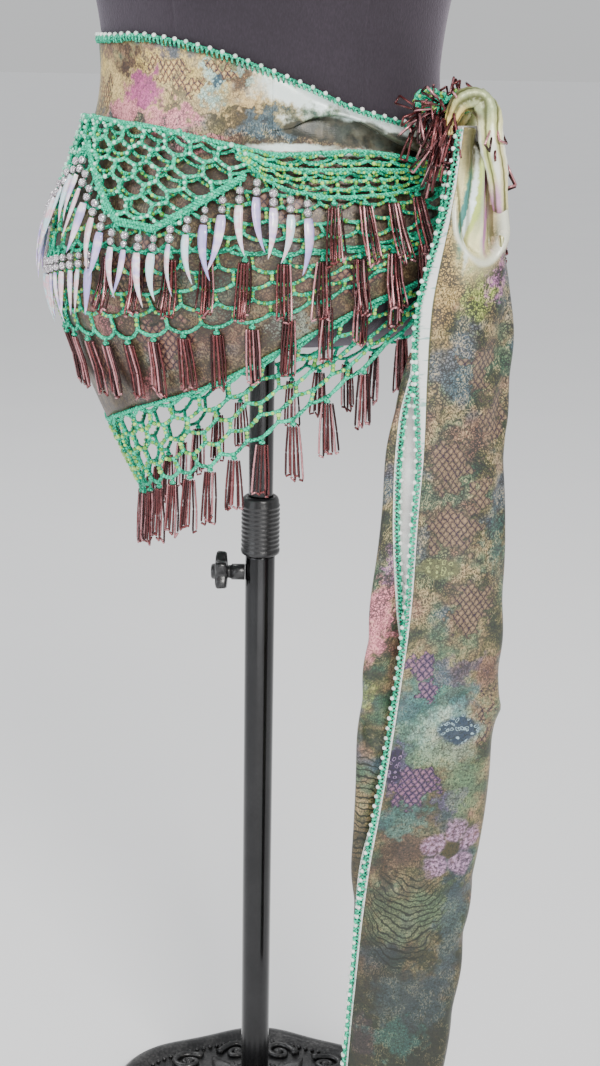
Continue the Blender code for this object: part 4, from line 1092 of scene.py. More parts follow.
def edging(name, line, inward, out, node, reach=0.0042):
    """A border along a line of points. inward points into the cloth, out off its face."""
    length = np.linalg.norm(np.diff(line, axis=0), axis=1).sum()
    cord = plied(line[None], EDGING_CORD, 0.0046, out[None])

    def spaced(number):
        """Points evenly along the line, with both directions there."""
        index = (np.arange(number) + 0.5) / number * (len(line) - 1)
        low = np.clip(index.astype(int), 0, len(line) - 2)
        share = (index - low)[:, None]
        return [grid[low] * (1 - share) + grid[low + 1] * share for grid in (line, inward, out)]

    bites = int(length / (EDGING_PITCH / 5))
    where, into, off = spaced(bites)
    slant = unit(np.gradient(where, axis=0)) * np.where(np.arange(bites) % 2, 0.0007, -0.0007)[:, None]
    deep = reach * random.uniform(0.8, 1.15, (bites, 1))
    legs = np.stack([where - into * 0.0004 + off * 0.0009,
                     where + into * deep * 0.5 + slant + off * 0.0013,
                     where + into * deep + slant * 1.6 + off * 0.0004], 1)
    cord.append(tubes(legs, 0.00075, 4, off[:, None, :], tint=random.random(bites)))
    number = int(length / EDGING_PITCH)
    where, into, off = spaced(number)
    placed = where - into * (EDGING_CORD * 0.8) + off * 0.0006
    picots = beads(placed, EDGING_BEAD, tint=random.random(number))
    put(name + "_cord", cord, thread, "form", [node])
    put(name + "_beads", [picots], white_beads, "form")


rim_angles = np.linspace(60.0, 420.0, 810)
rim = edge(RIM, rim_angles)
rim_line = hip(rim_angles, rim + 0.0012, 0.0018 + slack(rim_angles, rim))
edging("rim_edging", rim_line, np.broadcast_to((0.0, 0.0, -1.0), rim_line.shape),
       outward(rim_angles, rim), "rim_trim")
line_heights = np.linspace(TAIL[0, 0] - 0.002, TAIL[-1, 0], 640)
for side, name in enumerate(("front", "back")):
    line, into = turned_hem(line_heights, side, 1.0)
    face = unit(np.cross(into, (0.0, 0.0, 1.0))) * (1.0, -1.0)[side]
    edging(f"tail_{name}_edging", line - into * 0.0022, into, face, f"tail_{name}_trim", 0.0028)
print("edging on 3 edges")

# %% [markdown]
# ## Crocheted nets
# Filet net is a lattice of six-sided meshes. Each mesh side is one length of yarn, and where three
# sides meet there is a knot. The lattice is laid out in meshes along and rows down, and a function
# of those two numbers puts each point on the hips, so one lattice can be open, flat or sheared.

# %% Net lattice
SIDE_POINTS, FAR_OUT = 7, 0.5    # points along one side of a mesh; metres out, to find which way is out


def lattice(cells):
    """The sides of six-sided meshes: ends in half meshes along and third rows down, and owners."""
    owners = {}
    for column, row in cells:
        u, v = 2 * column + 1 + row % 2, 2 + 3 * row
        ring = [(u + du, v + dv) for du, dv in ((0, -2), (1, -1), (1, 1), (0, 2), (-1, 1), (-1, -1))]
        for i, start in enumerate(ring):
            pair = tuple(sorted((start, ring[(i + 1) % 6])))
            owners.setdefault(pair, []).append(row)
    sides = np.array(list(owners), float)
    return sides, np.array([len(rows) for rows in owners.values()])


def net(name, cells, place, node, thickness, bead_material, per_side, sag=0.10, cords=(),
        knots=False, open_sides_beaded=False, bead=0.00125, worn_share=0.9):
    """A net of yarn with its beads. place(u, v, out) gives points at u meshes along, v rows down.

    per_side beads sit on a side, knots adds one on each knot, and cords are lines of (u, v).
    """
    sides, owners = lattice(cells)
    keys, index = np.unique(sides.reshape(-1, 2), axis=0, return_inverse=True)
    shaken = keys / (2.0, 3.0) + random.normal(0.0, 0.04, keys.shape)
    ends = shaken[index.reshape(-1, 2)]
    t = np.linspace(0.0, 1.0, SIDE_POINTS)[None, :, None]
    lines = ends[:, :1] * (1 - t) + ends[:, 1:] * t
    slanting = np.abs(ends[:, 0, 0] - ends[:, 1, 0]) > 0.2
    lines[..., 1] += sag * np.sin(np.pi * t[..., 0]) * slanting[:, None]
    middle = place(lines[..., 0], lines[..., 1], 0.0016)
    facing = unit(place(lines[..., 0], lines[..., 1], FAR_OUT) - middle)
    parts = yarn(middle, thickness, facing, random.random(len(sides)))
    knot_at = place(shaken[:, 0], shaken[:, 1], 0.0019)
    parts.append(beads(knot_at, thickness * 1.40, tint=random.random(len(keys)), squash=0.85))
    for u, v in cords:
        path = place(u, v, 0.0023)[None]
        parts += plied(path, thickness * 1.15, 0.0050, unit(place(u, v, FAR_OUT) - path), 0.7)
    put(name + "_yarn", parts, thread, "form", node)
    worn = owners > (0 if open_sides_beaded else 1)
    spots = []
    for share in np.linspace(0, 1, per_side + 2)[1:-1]:
        at = int(round(share * (SIDE_POINTS - 1)))
        keep = worn & (random.random(len(sides)) < worn_share)
        spots.append(place(lines[keep, at, 0], lines[keep, at, 1], 0.0016 + thickness * 0.9))
    if knots:
        spots.append(place(shaken[:, 0], shaken[:, 1], 0.0030 + thickness * 0.5))
    spots = np.concatenate(spots)
    size = bead * (1 + 0.15 * random.standard_normal(len(spots)))
    put(name + "_beads", [beads(spots, size, tint=random.random(len(spots)))], bead_material,
        "form")


def net_place(start, step, rows, top, bottom, layer, closer=0.0, shift=0):
    """Gives place(u, v, out) for a net between two lines of heights, closer to the hips by closer."""
    def place(u, v, out):
        angle = start + (u - shift) * step
        high, low = top(angle), bottom(angle)
        return hip(angle, high - v / (rows + 1 / 3) * (high - low), layer * LAYER + out - closer)
    return place


def level(count, points, *rows):
    """Cords along whole rows of a net that is count meshes long."""
    along = np.linspace(0.0, count, points)
    return [(along, np.full(points, row)) for row in rows]


def below(column, drop=0.0):
    """A line of heights a little below one of the belt's edges."""
    return lambda angle: edge(column, angle) - drop


def rows_of(count, last):
    """The cells of a plain net: each odd row is one mesh shorter."""
    return [(c, r) for r in range(count) for c in range(last - r % 2)]


def stations(start, end, pitch):
    """Angles a nearly even pitch apart, both ends included."""
    return np.linspace(start, end, int(abs(end - start) / pitch) + 1)


# %% Net that hangs from the hem, and the second and third tiers over the satin
net_step = (NET_SPAN[1] - NET_SPAN[0]) / NET_COLUMNS
net("hem_net", rows_of(NET_ROWS, NET_COLUMNS),
    net_place(NET_SPAN[0], net_step, NET_ROWS, below(HEM, 0.0008), below(NET_HEM), 0, 0.0009),
    ["hem_net_back", "hem_net_front"], 0.00140, lime_beads, 2,
    cords=level(NET_COLUMNS, 1000, 0.02), bead=0.00145, sag=0.05)

behind, before = KNOT_GAP[1] - 360.0, KNOT_GAP[0]
LOW_TIER = stations(behind, before, TASSEL_PITCH)      # where the tassels of the third tier hang
MIDDLE_TIER = stations(-43.0, before, TASSEL_PITCH)    # and those of the second, in front
for name, rows, long, top, bottom, tips, layer, thickness, worn_share in (
        ("three", 4, 40, below(TIER_TWO, -0.004), TIER_THREE, LOW_TIER, 1, 0.00130, 0.9),
        ("two", 6, 38, below(BAND, 0.004), TIER_TWO, MIDDLE_TIER, 2, 0.00130, 0.7)):
    step = tips[1] - tips[0]    # so a mesh's lower corner falls on each tassel
    place = net_place(tips[0], step, rows, top, below(bottom), layer, 0.0010,
                      np.ceil((tips[0] + 300.0) / step))
    net(f"tier_{name}", rows_of(rows, long), place, [f"tier_{name}_net"], thickness, lime_beads, 2,
        worn_share=worn_share)

# %% Open points of the upper net
point_width = (POINT_SPAN[1] - POINT_SPAN[0]) / 3
point_step = point_width / POINT_COLUMNS


def point_hem(angle):
    """The lower edge of the three points: straight flanks to a blunt tip."""
    slope = 1.0 - np.abs(2 * ((angle - POINT_SPAN[0]) % point_width / point_width) - 1)
    return edge(BAND, angle) - 0.020 - (POINT_DROP - 0.016) * np.minimum(slope * 1.25, 1.0)


def swag_hem(angle):
    """The lower edge where the upper net is pulled flat towards the knot."""
    share = (angle - POINT_SPAN[1]) / (KNOT_ANGLE - 8.0 - POINT_SPAN[1])
    share = np.where(share > 1.0, (180.0 - angle) / (180.0 - KNOT_ANGLE - 8.0), share)
    return edge(BAND, angle) - 0.008 - 0.022 * np.sin(np.pi * np.clip(share, 0.0, 1.0)) ** 0.7


def upper_place(u, v, out):
    """A point of the upper net, u meshes along and v rows down."""
    angle = POINT_SPAN[0] + u * point_step
    return hip(angle, edge(BAND, angle) - v / (POINT_ROWS + 1 / 3) * (POINT_DROP - 0.002),
               3 * LAYER + out)


def point_line(angle, rise=0.0):
    """A line along the points' lower edge in the net's own numbers."""
    fall = edge(BAND, angle) - point_hem(angle) - rise
    return (angle - POINT_SPAN[0]) / point_step, fall / (POINT_DROP - 0.002) * (POINT_ROWS + 1 / 3)


cells = [(p * POINT_COLUMNS + r // 2 + c, r) for r in range(POINT_ROWS) for p in range(3)
         for c in range(POINT_COLUMNS - r)]
point_angles = np.linspace(POINT_SPAN[0], POINT_SPAN[1], 900)
net("upper_net", cells, upper_place, ["upper_net_points"], 0.00150, mint_beads, 1, knots=True,
    cords=[*level(3 * POINT_COLUMNS, 640, 0.02),
           *(point_line(point_angles, rise) for rise in (0.001, 0.0034))],
    open_sides_beaded=True, bead=0.00130, sag=0.04)

# %% The upper net pulled flat towards the knot
SWAG_ROWS, SWAG_COLUMNS, SWAG_DEGREES = 5, 21, 188.0
net("swag_net", rows_of(SWAG_ROWS, SWAG_COLUMNS),
    net_place(POINT_SPAN[1] - 2.0, SWAG_DEGREES / SWAG_COLUMNS, SWAG_ROWS, below(BAND), swag_hem, 3),
    ["upper_net_swag"], 0.00125, lime_beads, 3, sag=0.3,
    cords=level(SWAG_COLUMNS, 600, 0.02, 2.1, 5.2), open_sides_beaded=True, bead=0.00115,
    worn_share=0.65)

# %% [markdown]
# ## Bugle tassels
# A tassel is four loops of bugle beads on one knot. A loop is two long bugles in line down each
# side, and a short one across the bottom. Glass is stiff, so each bugle stays straight, and the
# loops only bend where one bugle meets the next. A bugle is a six-sided tube.

# %% Tassels
BUGLE, TASSEL_LENGTH = 0.00084, 0.040    # a bugle bead's radius, and a tassel's drop
LOOPS = (-1.2, -0.4, 0.4, 1.2)           # where a tassel's loops hang, from side to side
ACROSS = (0.31, 0.83, 0.47)              # any direction that no bugle lies along


def bugles(start, end, tint):
    """Straight glass tubes between points."""
    facing = unit(np.cross(end - start, ACROSS))[:, None]
    return tubes(np.stack([start, end], 1), BUGLE, 6, facing, tint=tint)


def strand(start, elbow, end, tint):
    """Two long bugles in line, bent a little where they meet."""
    share = np.array([0.0, 0.06, 0.93, 1.0])[None, :, None]
    upper = start[:, None] * (1 - share) + elbow[:, None] * share
    lower = elbow[:, None] * (1 - share) + end[:, None] * share
    paths = np.concatenate([upper, lower[:, 1:]], 1)
    facing = unit(np.cross(end - start, ACROSS))[:, None]
    radius = BUGLE * np.array([0.72, 1.0, 1.0, 0.70, 1.0, 1.0, 0.72])
    return tubes(paths, radius, 6, facing, tint=tint)


def degrees_per_metre(angle, height):
    """How far round the hips a metre of their surface goes."""
    chord = hip(angle + 0.5, height) - hip(angle - 0.5, height)
    return np.degrees(1.0 / np.linalg.norm(chord, axis=1) * np.radians(1.0))


def hung(upper, lower, radius, sides):
    """A short end of yarn that ties each piece to what is above it."""
    return tubes(np.stack([upper, (upper + lower) / 2, lower], 1), radius, sides, (0.3, 0.9, 0.1))


def tassels(name, angles, line, layer, node, width=0.0125, lean=0.004, free=False):
    """Tassels under a line of heights. They lie down the hips, or hang plumb where they are free."""
    count = len(angles)
    root_z = line(angles)
    per_metre = degrees_per_metre(angles, root_z)
    root = hip(angles, root_z, layer * LAYER)
    normal = outward(angles, root_z)
    side = unit(np.cross((0.0, 0.0, 1.0), normal))

    def at(s, n, d):
        """A point s to the side, n off the cloth and d down from each tassel's root."""
        if free:
            down = np.array([0.0, 0.0, 1.0]) * d[:, None]
            return root + side * s[:, None] + normal * (n - 0.0005)[:, None] - down
        return hip(angles + s * per_metre, root_z - d, layer * LAYER + n)

    glass, middle = [], np.zeros(count)
    swing = random.normal(0.0, 0.0010, count)
    for loop in LOOPS:
        spread = loop * width * 0.25 + swing + random.normal(0.0, 0.0008, count)
        half = width * random.uniform(0.08, 0.15, count)
        reach = TASSEL_LENGTH - 0.0015 - random.uniform(0.0, 0.005, count)
        slope = random.normal(0.0, 0.0012, count)
        off = 0.0020 + 0.0016 * (1 - abs(loop)) + random.uniform(0.0, 0.0014, count)
        low = off + (0.0015 if free else lean)
        tops = [at(loop * 0.0025 + way * 0.0008 + middle, off, middle + 0.0010) for way in (-1, 1)]
        feet = [at(spread + way * half, low, reach + way * slope) for way in (-1, 1)]
        bend = random.uniform(0.30, 0.46, count)
        elbows = [at((loop * 0.0025 + way * 0.0008) * (1 - bend)
                     + (spread + way * half) * (0.12 + bend),
                     off + random.uniform(0.0, 0.0012, count), reach * (bend + 0.16))
                  for way in (-1, 1)]
        tint = random.random(count)
        glass += [strand(tops[0], elbows[0], feet[0], tint),
                  strand(tops[1], elbows[1], feet[1], 1 - tint),
                  bugles(feet[0] - (0.0, 0.0, 0.0010), feet[1] - (0.0, 0.0, 0.0010), tint * 0.5 + 0.5)]
    knot_at = at(middle, middle + 0.0022, middle - 0.0004)
    upper = at(middle, middle + 0.0018, middle - 0.0036)
    put(name, glass, bugle, "form", node)
    return [hung(upper, knot_at, 0.0011, 6), beads(knot_at, 0.0024, tint=0.4, squash=0.7)]


tips = NET_SPAN[0] + np.arange(1, NET_COLUMNS) * net_step
BEHIND = np.arange(8, 25)    # how many pitches back the second tier's other tassels hang
middle_back = MIDDLE_TIER[0] - BEHIND * (MIDDLE_TIER[1] - MIDDLE_TIER[0])
ties = tassels("hem_tassels", tips, below(NET_HEM, STRIP), 0, ["hem_fringe_back", "hem_fringe_front"],
               free=True, width=0.014)
ties += tassels("tier_three_tassels", LOW_TIER, below(TIER_THREE, STRIP), 1, ["tier_three_fringe"])
ties += tassels("tier_two_tassels", np.r_[middle_back, MIDDLE_TIER], below(TIER_TWO, STRIP), 2,
                ["tier_two_fringe_back", "tier_two_fringe_front"], lean=0.009)
ties += tassels("swag_tassels", np.r_[stations(17.0, before, TASSEL_PITCH * 0.8),
                                      stations(KNOT_GAP[1] + 4.0, 176.0, TASSEL_PITCH)],
                lambda angle: swag_hem(angle) - STRIP, 4, ["swag_fringe_front", "swag_fringe_back"],
                lean=0.006)
put("tassel_ties", ties, thread, "form")

# %% [markdown]
# ## Tusks
# Under the upper net hang crescents of pearly plastic, each below two round silver beads. A tusk
# is a flattened tube whose radius falls as a power of the distance to its tip, on a curved path.

# %% Crescent tusks and their beads
TUSK_LENGTH, TUSK_RADIUS = 0.0335, 0.00315


def tusks(name, angles, line, layer, node):
    """Tusks under a line of heights, with their silver beads and the yarn they hang by."""
    count = len(angles)
    z = line(angles)
    t = np.linspace(0.0, 1.0, 10)[None]
    curl = np.where(random.random(count) < 0.62, -1.0, 1.0) * random.uniform(0.003, 0.0075, count)
    lean = random.normal(0.0, 0.0016, count)
    size = random.uniform(0.92, 1.10, count)[:, None]
    s = lean[:, None] * t + curl[:, None] * (t**2.2 - 0.25 * t)
    down = 0.0118 + TUSK_LENGTH * size * t
    off = 0.0030 + 0.0020 * t + random.uniform(0, 0.002, count)[:, None]
    path = hip(angles[:, None] + s * degrees_per_metre(angles, z)[:, None], z[:, None] - down,
               layer * LAYER + off)
    twist = random.normal(0.0, 0.35, count)[:, None, None]
    normal = outward(angles, z)[:, None]
    facing = unit(normal + twist * np.cross((0.0, 0.0, 1.0), normal))
    taper = (1 - t) ** 0.62 * (0.80 + 0.45 * np.sin(np.pi * t**0.7))
    crescents = tubes(path, TUSK_RADIUS * size * taper + 0.00015, 8, facing, 0.42, random.random(count))
    round_at = [hip(angles, z - d, layer * LAYER + 0.0032) for d in (0.0022, 0.0080)]
    pearls = [beads(p, 0.00295 * (1 + 0.06 * random.standard_normal(count)), ROUND_BALL,
                    random.random(count)) for p in round_at]
    hooks = hung(hip(angles, z + 0.0040, layer * LAYER + 0.002), round_at[0], 0.0008, 4)
    put(name + "_row_tusks", [crescents], tusk_pearl, "form", node)
    put(name + "_row_silver", pearls, silver, "form")
    put(name + "_row_hooks", [hooks], thread, "form")


tusks("upper", stations(POINT_SPAN[0] + 3.0, 10.0, TUSK_PITCH),
      lambda a: np.where(a < POINT_SPAN[1], point_hem(a), swag_hem(a)) - 0.0030, 4, ["upper_tusks"])
tusks("second", stations(-101.0, -50.0, TUSK_PITCH), below(TIER_TWO, 0.0030), 2,
      ["tier_two_tusks"])

# %% [markdown]
# ## The knot
# The sash is tied into a tight bundle, a band of it passes over the top and tucks in behind, and
# the end comes round in an open roll that drops in front as the hanging end. The bundle is a ball
# whose radius swings along spiral folds. The band and the roll are pleated sections carried along
# curves. The tint paints a highlight on the ridges of the bundle and the roll and shade between them.

# %% Bundle and the band that passes over it
BUNDLE_RINGS, BUNDLE_SIDES = 48, 72
polar, turn = np.meshgrid(np.linspace(0.06, 0.94, BUNDLE_RINGS) * np.pi, circle(BUNDLE_SIDES),
                          indexing="ij")
wraps = np.abs(np.sin(3 * turn + 2.6 * polar + 0.7 * np.sin(turn + polar))) ** 0.6
gathers = np.abs(np.sin(8 * turn - 4.0 * polar + 1.5 * np.sin(2 * turn))) ** 0.7
swell = np.sin(polar) * (0.83 + 0.17 * wraps + 0.06 * gathers * wraps)
bundle = np.stack([knot_x + 0.0212 * swell * np.cos(turn), knot_y + 0.0192 * swell * np.sin(turn),
                   KNOT_HEIGHT + 0.025 * np.cos(polar) * (0.90 + 0.10 * wraps)], -1)
# the tint is a painted highlight on the ridges of the spiral folds
bundle_tint = (0.62 * wraps + 0.10 * gathers).ravel()
put("knot_bundle", [(bundle, closed_grid(BUNDLE_RINGS, BUNDLE_SIDES)[:, ::-1], bundle_tint)],
    knot_satin, "form", ["knot"],
    seams=np.stack([0.020 * np.cos(turn), 0.025 * np.cos(polar)], -1))

BAND_OVER = np.array((    # towards the front, up, half width, half thickness, sideways
    (-0.0150, -0.0160, 0.0040, 0.0020, 0.004), (-0.0195, -0.0040, 0.0066, 0.0032, 0.004),
    (-0.0195, 0.0120, 0.0088, 0.0040, 0.004), (-0.0120, 0.0262, 0.0105, 0.0042, 0.003),
    (0.005, 0.0325, 0.0115, 0.0045, 0.002), (0.021, 0.0335, 0.0115, 0.0045, 0.001),
    (0.033, 0.0320, 0.0105, 0.0042, 0.001), (0.0400, 0.0290, 0.0090, 0.0038, 0.001)))


def from_knot(sideways, forwards, up):
    """A point given by its distances from the knot's middle."""
    return np.stack(np.broadcast_arrays(knot_x + sideways, knot_y - forwards, KNOT_HEIGHT + up), -1)


BAND_RINGS, BAND_SIDES = 50, 64
over = through(BAND_OVER, BAND_RINGS)
turn = circle(BAND_SIDES)
centre = from_knot(over[:, 4], over[:, 0], over[:, 1])
up = np.cross((1.0, 0.0, 0.0), unit(np.gradient(centre, axis=0) * (0.0, 1.0, 1.0)))
pleats = 1.0 + 0.40 * np.cos(7 * turn + 0.6) * np.abs(np.sin(turn))
band = (centre[:, None] + over[:, 2, None, None] * np.cos(turn)[None, :, None] * (1.0, 0.0, 0.0)
        - over[:, 3, None, None] * (np.sin(turn) * pleats)[None, :, None] * up[:, None])
knot_parts = [(band, closed_grid(BAND_RINGS, BAND_SIDES), 0.3)]
knot_flat = [np.stack(np.broadcast_arrays(over[:, 4:] + over[:, 2:3] * np.cos(turn), over[:, 1:2]),
                      -1)]

# %% The open roll that the hanging end falls from
LOOP = np.array((    # sideways, forwards, up, radius: from the left lip over the top and down the right
    (-0.0150, 0.0440, 0.0090, 0.0016), (-0.0136, 0.0440, 0.0184, 0.0042),
    (-0.0098, 0.0415, 0.0280, 0.0058), (-0.0030, 0.0400, 0.0310, 0.0070),
    (0.0046, 0.0400, 0.0300, 0.0078), (0.0094, 0.0425, 0.0210, 0.0078),
    (0.0128, 0.0450, 0.0050, 0.0074), (0.0160, 0.0460, -0.0120, 0.0066),
    (0.0190, 0.0450, -0.0280, 0.0054), (0.0214, 0.0440, -0.0420, 0.0040),
    (0.0226, 0.0440, -0.0560, 0.0024), (0.0222, 0.0440, -0.0640, 0.0010)))
LOOP_RINGS, LOOP_SIDES = 130, 42


def front_of_tail(sideways, up):
    """How far in front of the knot's middle the hanging end's own face lies."""
    height = np.minimum(KNOT_HEIGHT + up, TAIL[0, 0])[:, None]
    face = tail_point(height, np.linspace(0.0, SHEET_FRONT, 80)[None])
    return np.array([knot_y - np.interp(knot_x + x, row[:, 0], row[:, 1])
                     for x, row in zip(sideways, face)])


path = through(LOOP, LOOP_RINGS)
lies = grow(path[:, 2], 0.016, -0.016)
lies = lies * lies * (3 - 2 * lies)    # 1 where the roll lies on the hanging end
path[:, 1] += lies * (front_of_tail(path[:, 0], path[:, 2]) + 0.0032 - path[:, 1])
middle = from_knot(*path[:, :3].T)
side, front = frame_along(middle, (0.0, -1.0, 0.0))
turn = circle(LOOP_SIDES)
around_loop = np.linspace(0.0, 2 * np.pi, LOOP_RINGS)[:, None]
wander = 1.1 * np.sin(around_loop) + 0.5 * np.sin(3 * around_loop + 1.0)
lobe = np.abs(np.cos(2.5 * turn + wander)) ** 0.8
folded = 0.26 * np.clip(1.0 + path[:, 2:3] / 0.040, 0.15, 1.0)
gather = (1.0 - folded * (1.0 - lobe) + 0.07 * np.sin(5 * around_loop + turn)
          + 0.02 * np.sin(23 * around_loop + 2 * turn))
ring = (1.15 * np.cos(turn)[None, :, None] * side[:, None]
        + 0.75 * np.sin(turn)[None, :, None] * front[:, None])
rope = middle[:, None] + (path[:, 3:] * gather)[..., None] * ring
# painted highlight: paler on the roll's right side, most of all just below the knot's middle
shine = 0.35 + 0.75 * bell(path[:, 2:3], -0.004, 0.022) * (path[:, :1] > 0.0)
knot_parts.append((rope, closed_grid(LOOP_RINGS, LOOP_SIDES), (lobe**1.6 * shine).ravel()))
knot_flat.append(path[:, None, [0, 2]] + 0.006 * np.stack([np.cos(turn), np.sin(turn)], -1)[None])
put("knot_loop_satin", knot_parts, knot_satin, "form", ["knot_loop"],
    seams=np.concatenate([flat.reshape(-1, 2) for flat in knot_flat]))

# %% Fringe and yarn caught up in the knot
def caught(count, middle, spread, aim, wobble, length):
    """Loops of bugles that leave a heap in nearly one direction."""
    root = middle + random.uniform(-1, 1, (count, 3)) * spread
    way = unit(np.array(aim) + random.normal(0.0, wobble, (count, 3)))
    side = unit(np.cross(way, random.normal(0.0, 1.0, (count, 3))))
    long = length * random.uniform(0.75, 1.05, (count, 1))
    half = random.uniform(0.0016, 0.0042, (count, 1))
    left, right = root + way * long - side * half, root + way * long + side * half
    tint = random.random(count)
    return [bugles(root - side * 0.0005, left, tint), bugles(root + side * 0.0005, right, 1 - tint),
            bugles(left, right, tint)]


HEAPS = (    # loops, middle, spread, aim, wobble, length
    (36, (0.114, -0.096, 0.853), (0.015, 0.007, 0.010), (-0.35, -0.25, -0.55), 0.60, 0.023),
    (30, (0.121, -0.112, 0.842), (0.007, 0.005, 0.014), (-0.08, -0.15, -1.0), 0.24, 0.030),
    (5, (0.152, -0.112, 0.846), (0.003, 0.003, 0.008), (-0.45, -0.30, -0.8), 0.30, 0.022),
    (12, (0.130, -0.094, 0.862), (0.018, 0.008, 0.004), (0.1, -0.2, 0.6), 0.6, 0.016),
    (2, (0.1615, -0.100, 0.822), (0.001, 0.003, 0.004), (0.2, -0.1, -0.95), 0.12, 0.017))
put("knot_bugles", [part for heap in HEAPS for part in caught(*heap)], bugle, "form")
STRANDS, STRAND_POINTS, BEAD_EVERY = 12, 60, 7    # the loose yarn, and its beads
each = (STRANDS, 1, 3)
t = np.linspace(0, 1, STRAND_POINTS)[None, :, None]
middle = np.array((0.122, -0.090, 0.861)) + random.uniform(-1, 1, each) * (0.014, 0.006, 0.004)
sway = random.uniform(3.0, 6.5, each)
swings = np.sin(2 * np.pi * t * random.uniform(0.6, 1.6, each) + sway)
tangle = middle + np.array((0.0085, 0.0060, 0.0046)) * swings
put("knot_yarn", yarn(tangle, 0.0013, (0.3, -0.9, 0.3)), thread, "form")
spots = tangle[:, ::BEAD_EVERY].reshape(-1, 3)
spots = spots + random.normal(0, 0.0008, spots.shape)
put("knot_yarn_beads", [beads(spots, 0.0015, tint=random.random(len(spots)))], lime_beads,
    "form")

# %% [markdown]
# ## The dress form
# A limbless padded form is covered in dark jersey, cut in panels that meet at princess seams. The
# seams are shallow grooves in the surface itself, so that they catch light from any side.

# %% Dress form and its neck cap
PANEL_SEAMS = np.array((32.0, 90.0, 148.0, 180.0, 212.0, 270.0, 328.0))
form_heights = np.unique(np.r_[np.linspace(FORM[0, 0], FORM[-1, 0], 76), 0.6903, 0.6906, 1.2997])
near_seams = PANEL_SEAMS[:, None] + np.array((-1.6, -0.9, -0.45, 0.0, 0.45, 0.9, 1.6))
form_turn = np.unique(np.r_[np.arange(0.0, 360.0, 4.0), near_seams.ravel()])
form_turn = form_turn[:len(form_turn) // 2 * 2]
rows = smooth(FORM, form_heights)
seam = sum(bell(form_turn, at, 0.7) for at in PANEL_SEAMS)
groove = 0.0007 * seam[None] * np.clip((form_heights - 0.70) / 0.02, 0, 1)[:, None]
radians = np.radians(form_turn)[None]
torso = np.stack([FORM_OFFSET_X + (rows[:, :1] - groove) * np.sin(radians),
                  -(rows[:, 1:2] - groove) * np.cos(radians) - rows[:, 2:3],
                  np.broadcast_to(form_heights[:, None], groove.shape)], -1)


def jersey_paint():
    """Dark ribbed jersey with a violet sheen."""
    p = Paint("form_jersey", Sheen_Weight=0.35, Sheen_Roughness=0.5, Specular_IOR_Level=0.3,
              Sheen_Tint=(0.75, 0.66, 0.80, 1.0))
    rib = p.noise(900.0, 2.0, at=p.place(scale=(1.0, 1.0, 0.4)))
    cloud = p.noise(9.0, 3.0)
    p.feed(Base_Color=p.mix((rib * 0.5 + cloud * 0.5).ramp(0.3, 0.7), (0.019, 0.014, 0.020),
                            (0.036, 0.028, 0.038)),
           Roughness=0.70 + rib * 0.2, Normal=p.bump(rib, 0.0006, 0.6))
    return p.material


put("dress_form", [(torso, closed_grid(len(form_heights), len(form_turn)), 0.5)], jersey_paint(),
    "form", ["form_torso"])


def turned(profile, count=64, centre=(0.0, 0.0, 0.0), bore=None):
    """A profile of (radius, height) carried round Z, closed at both ends or with a straight bore."""
    profile = np.asarray(profile, float)
    quads = closed_grid(len(profile), count)
    if bore:
        profile = np.vstack([profile, (bore, profile[-1, 1]), (bore, profile[0, 1])])
        quads = grid_quads(len(profile), count, closed_rows=True, closed_columns=True)
    turn = circle(count)
    points = np.stack([profile[:, :1] * np.cos(turn), profile[:, :1] * np.sin(turn),
                       np.broadcast_to(profile[:, 1:], (len(profile), count))], -1)
    return points + np.asarray(centre), quads, 0.5


def moulded_paint(name, base, roughness, grain, metallic=0.0, depth=0.0002, coat=0.2):
    """Moulded plastic or painted metal: a fine grain, with wear in the gloss."""
    p = Paint(name, Metallic=metallic, Coat_Weight=coat, Coat_Roughness=0.12)
    fine, broad = p.noise(grain, 3.0), p.noise(25.0, 3.0)
    lighter = tuple(min(1.0, c * 1.9 + 0.006) for c in base)
    p.feed(Base_Color=p.mix((fine * 0.5 + broad * 0.5).ramp(0.35, 0.75), base, lighter),
           Roughness=roughness + broad * 0.14 + fine * 0.06, Normal=p.bump(fine, depth, 0.6))
    return p.material


cap_plastic = moulded_paint("cap_plastic", (0.018, 0.017, 0.019), 0.28, 700.0)
cap = ((0.0528, 0.0), (0.0545, 0.0006), (0.0550, 0.0027), (0.0549, 0.0070), (0.0540, 0.0097),
       (0.0500, 0.0130), (0.0420, 0.0170), (0.0300, 0.0200), (0.0200, 0.0214), (0.0100, 0.0224),
       (0.0030, 0.0227))
put("neck_cap_moulding", [turned(cap, 96, (FORM_OFFSET_X, 0.0, FORM[-1, 0] + 0.0003))],
    cap_plastic, "form", ["neck_cap"])

# %% [markdown]
# ## The stand
# A black-plated rod slides in a wider tube and is clamped by a star knob. The foot is a heavy
# casting with scrolls and leaves in relief. The scrolls are log spirals: the radius grows by the
# same factor with each turn, which is how an ironworker draws them.

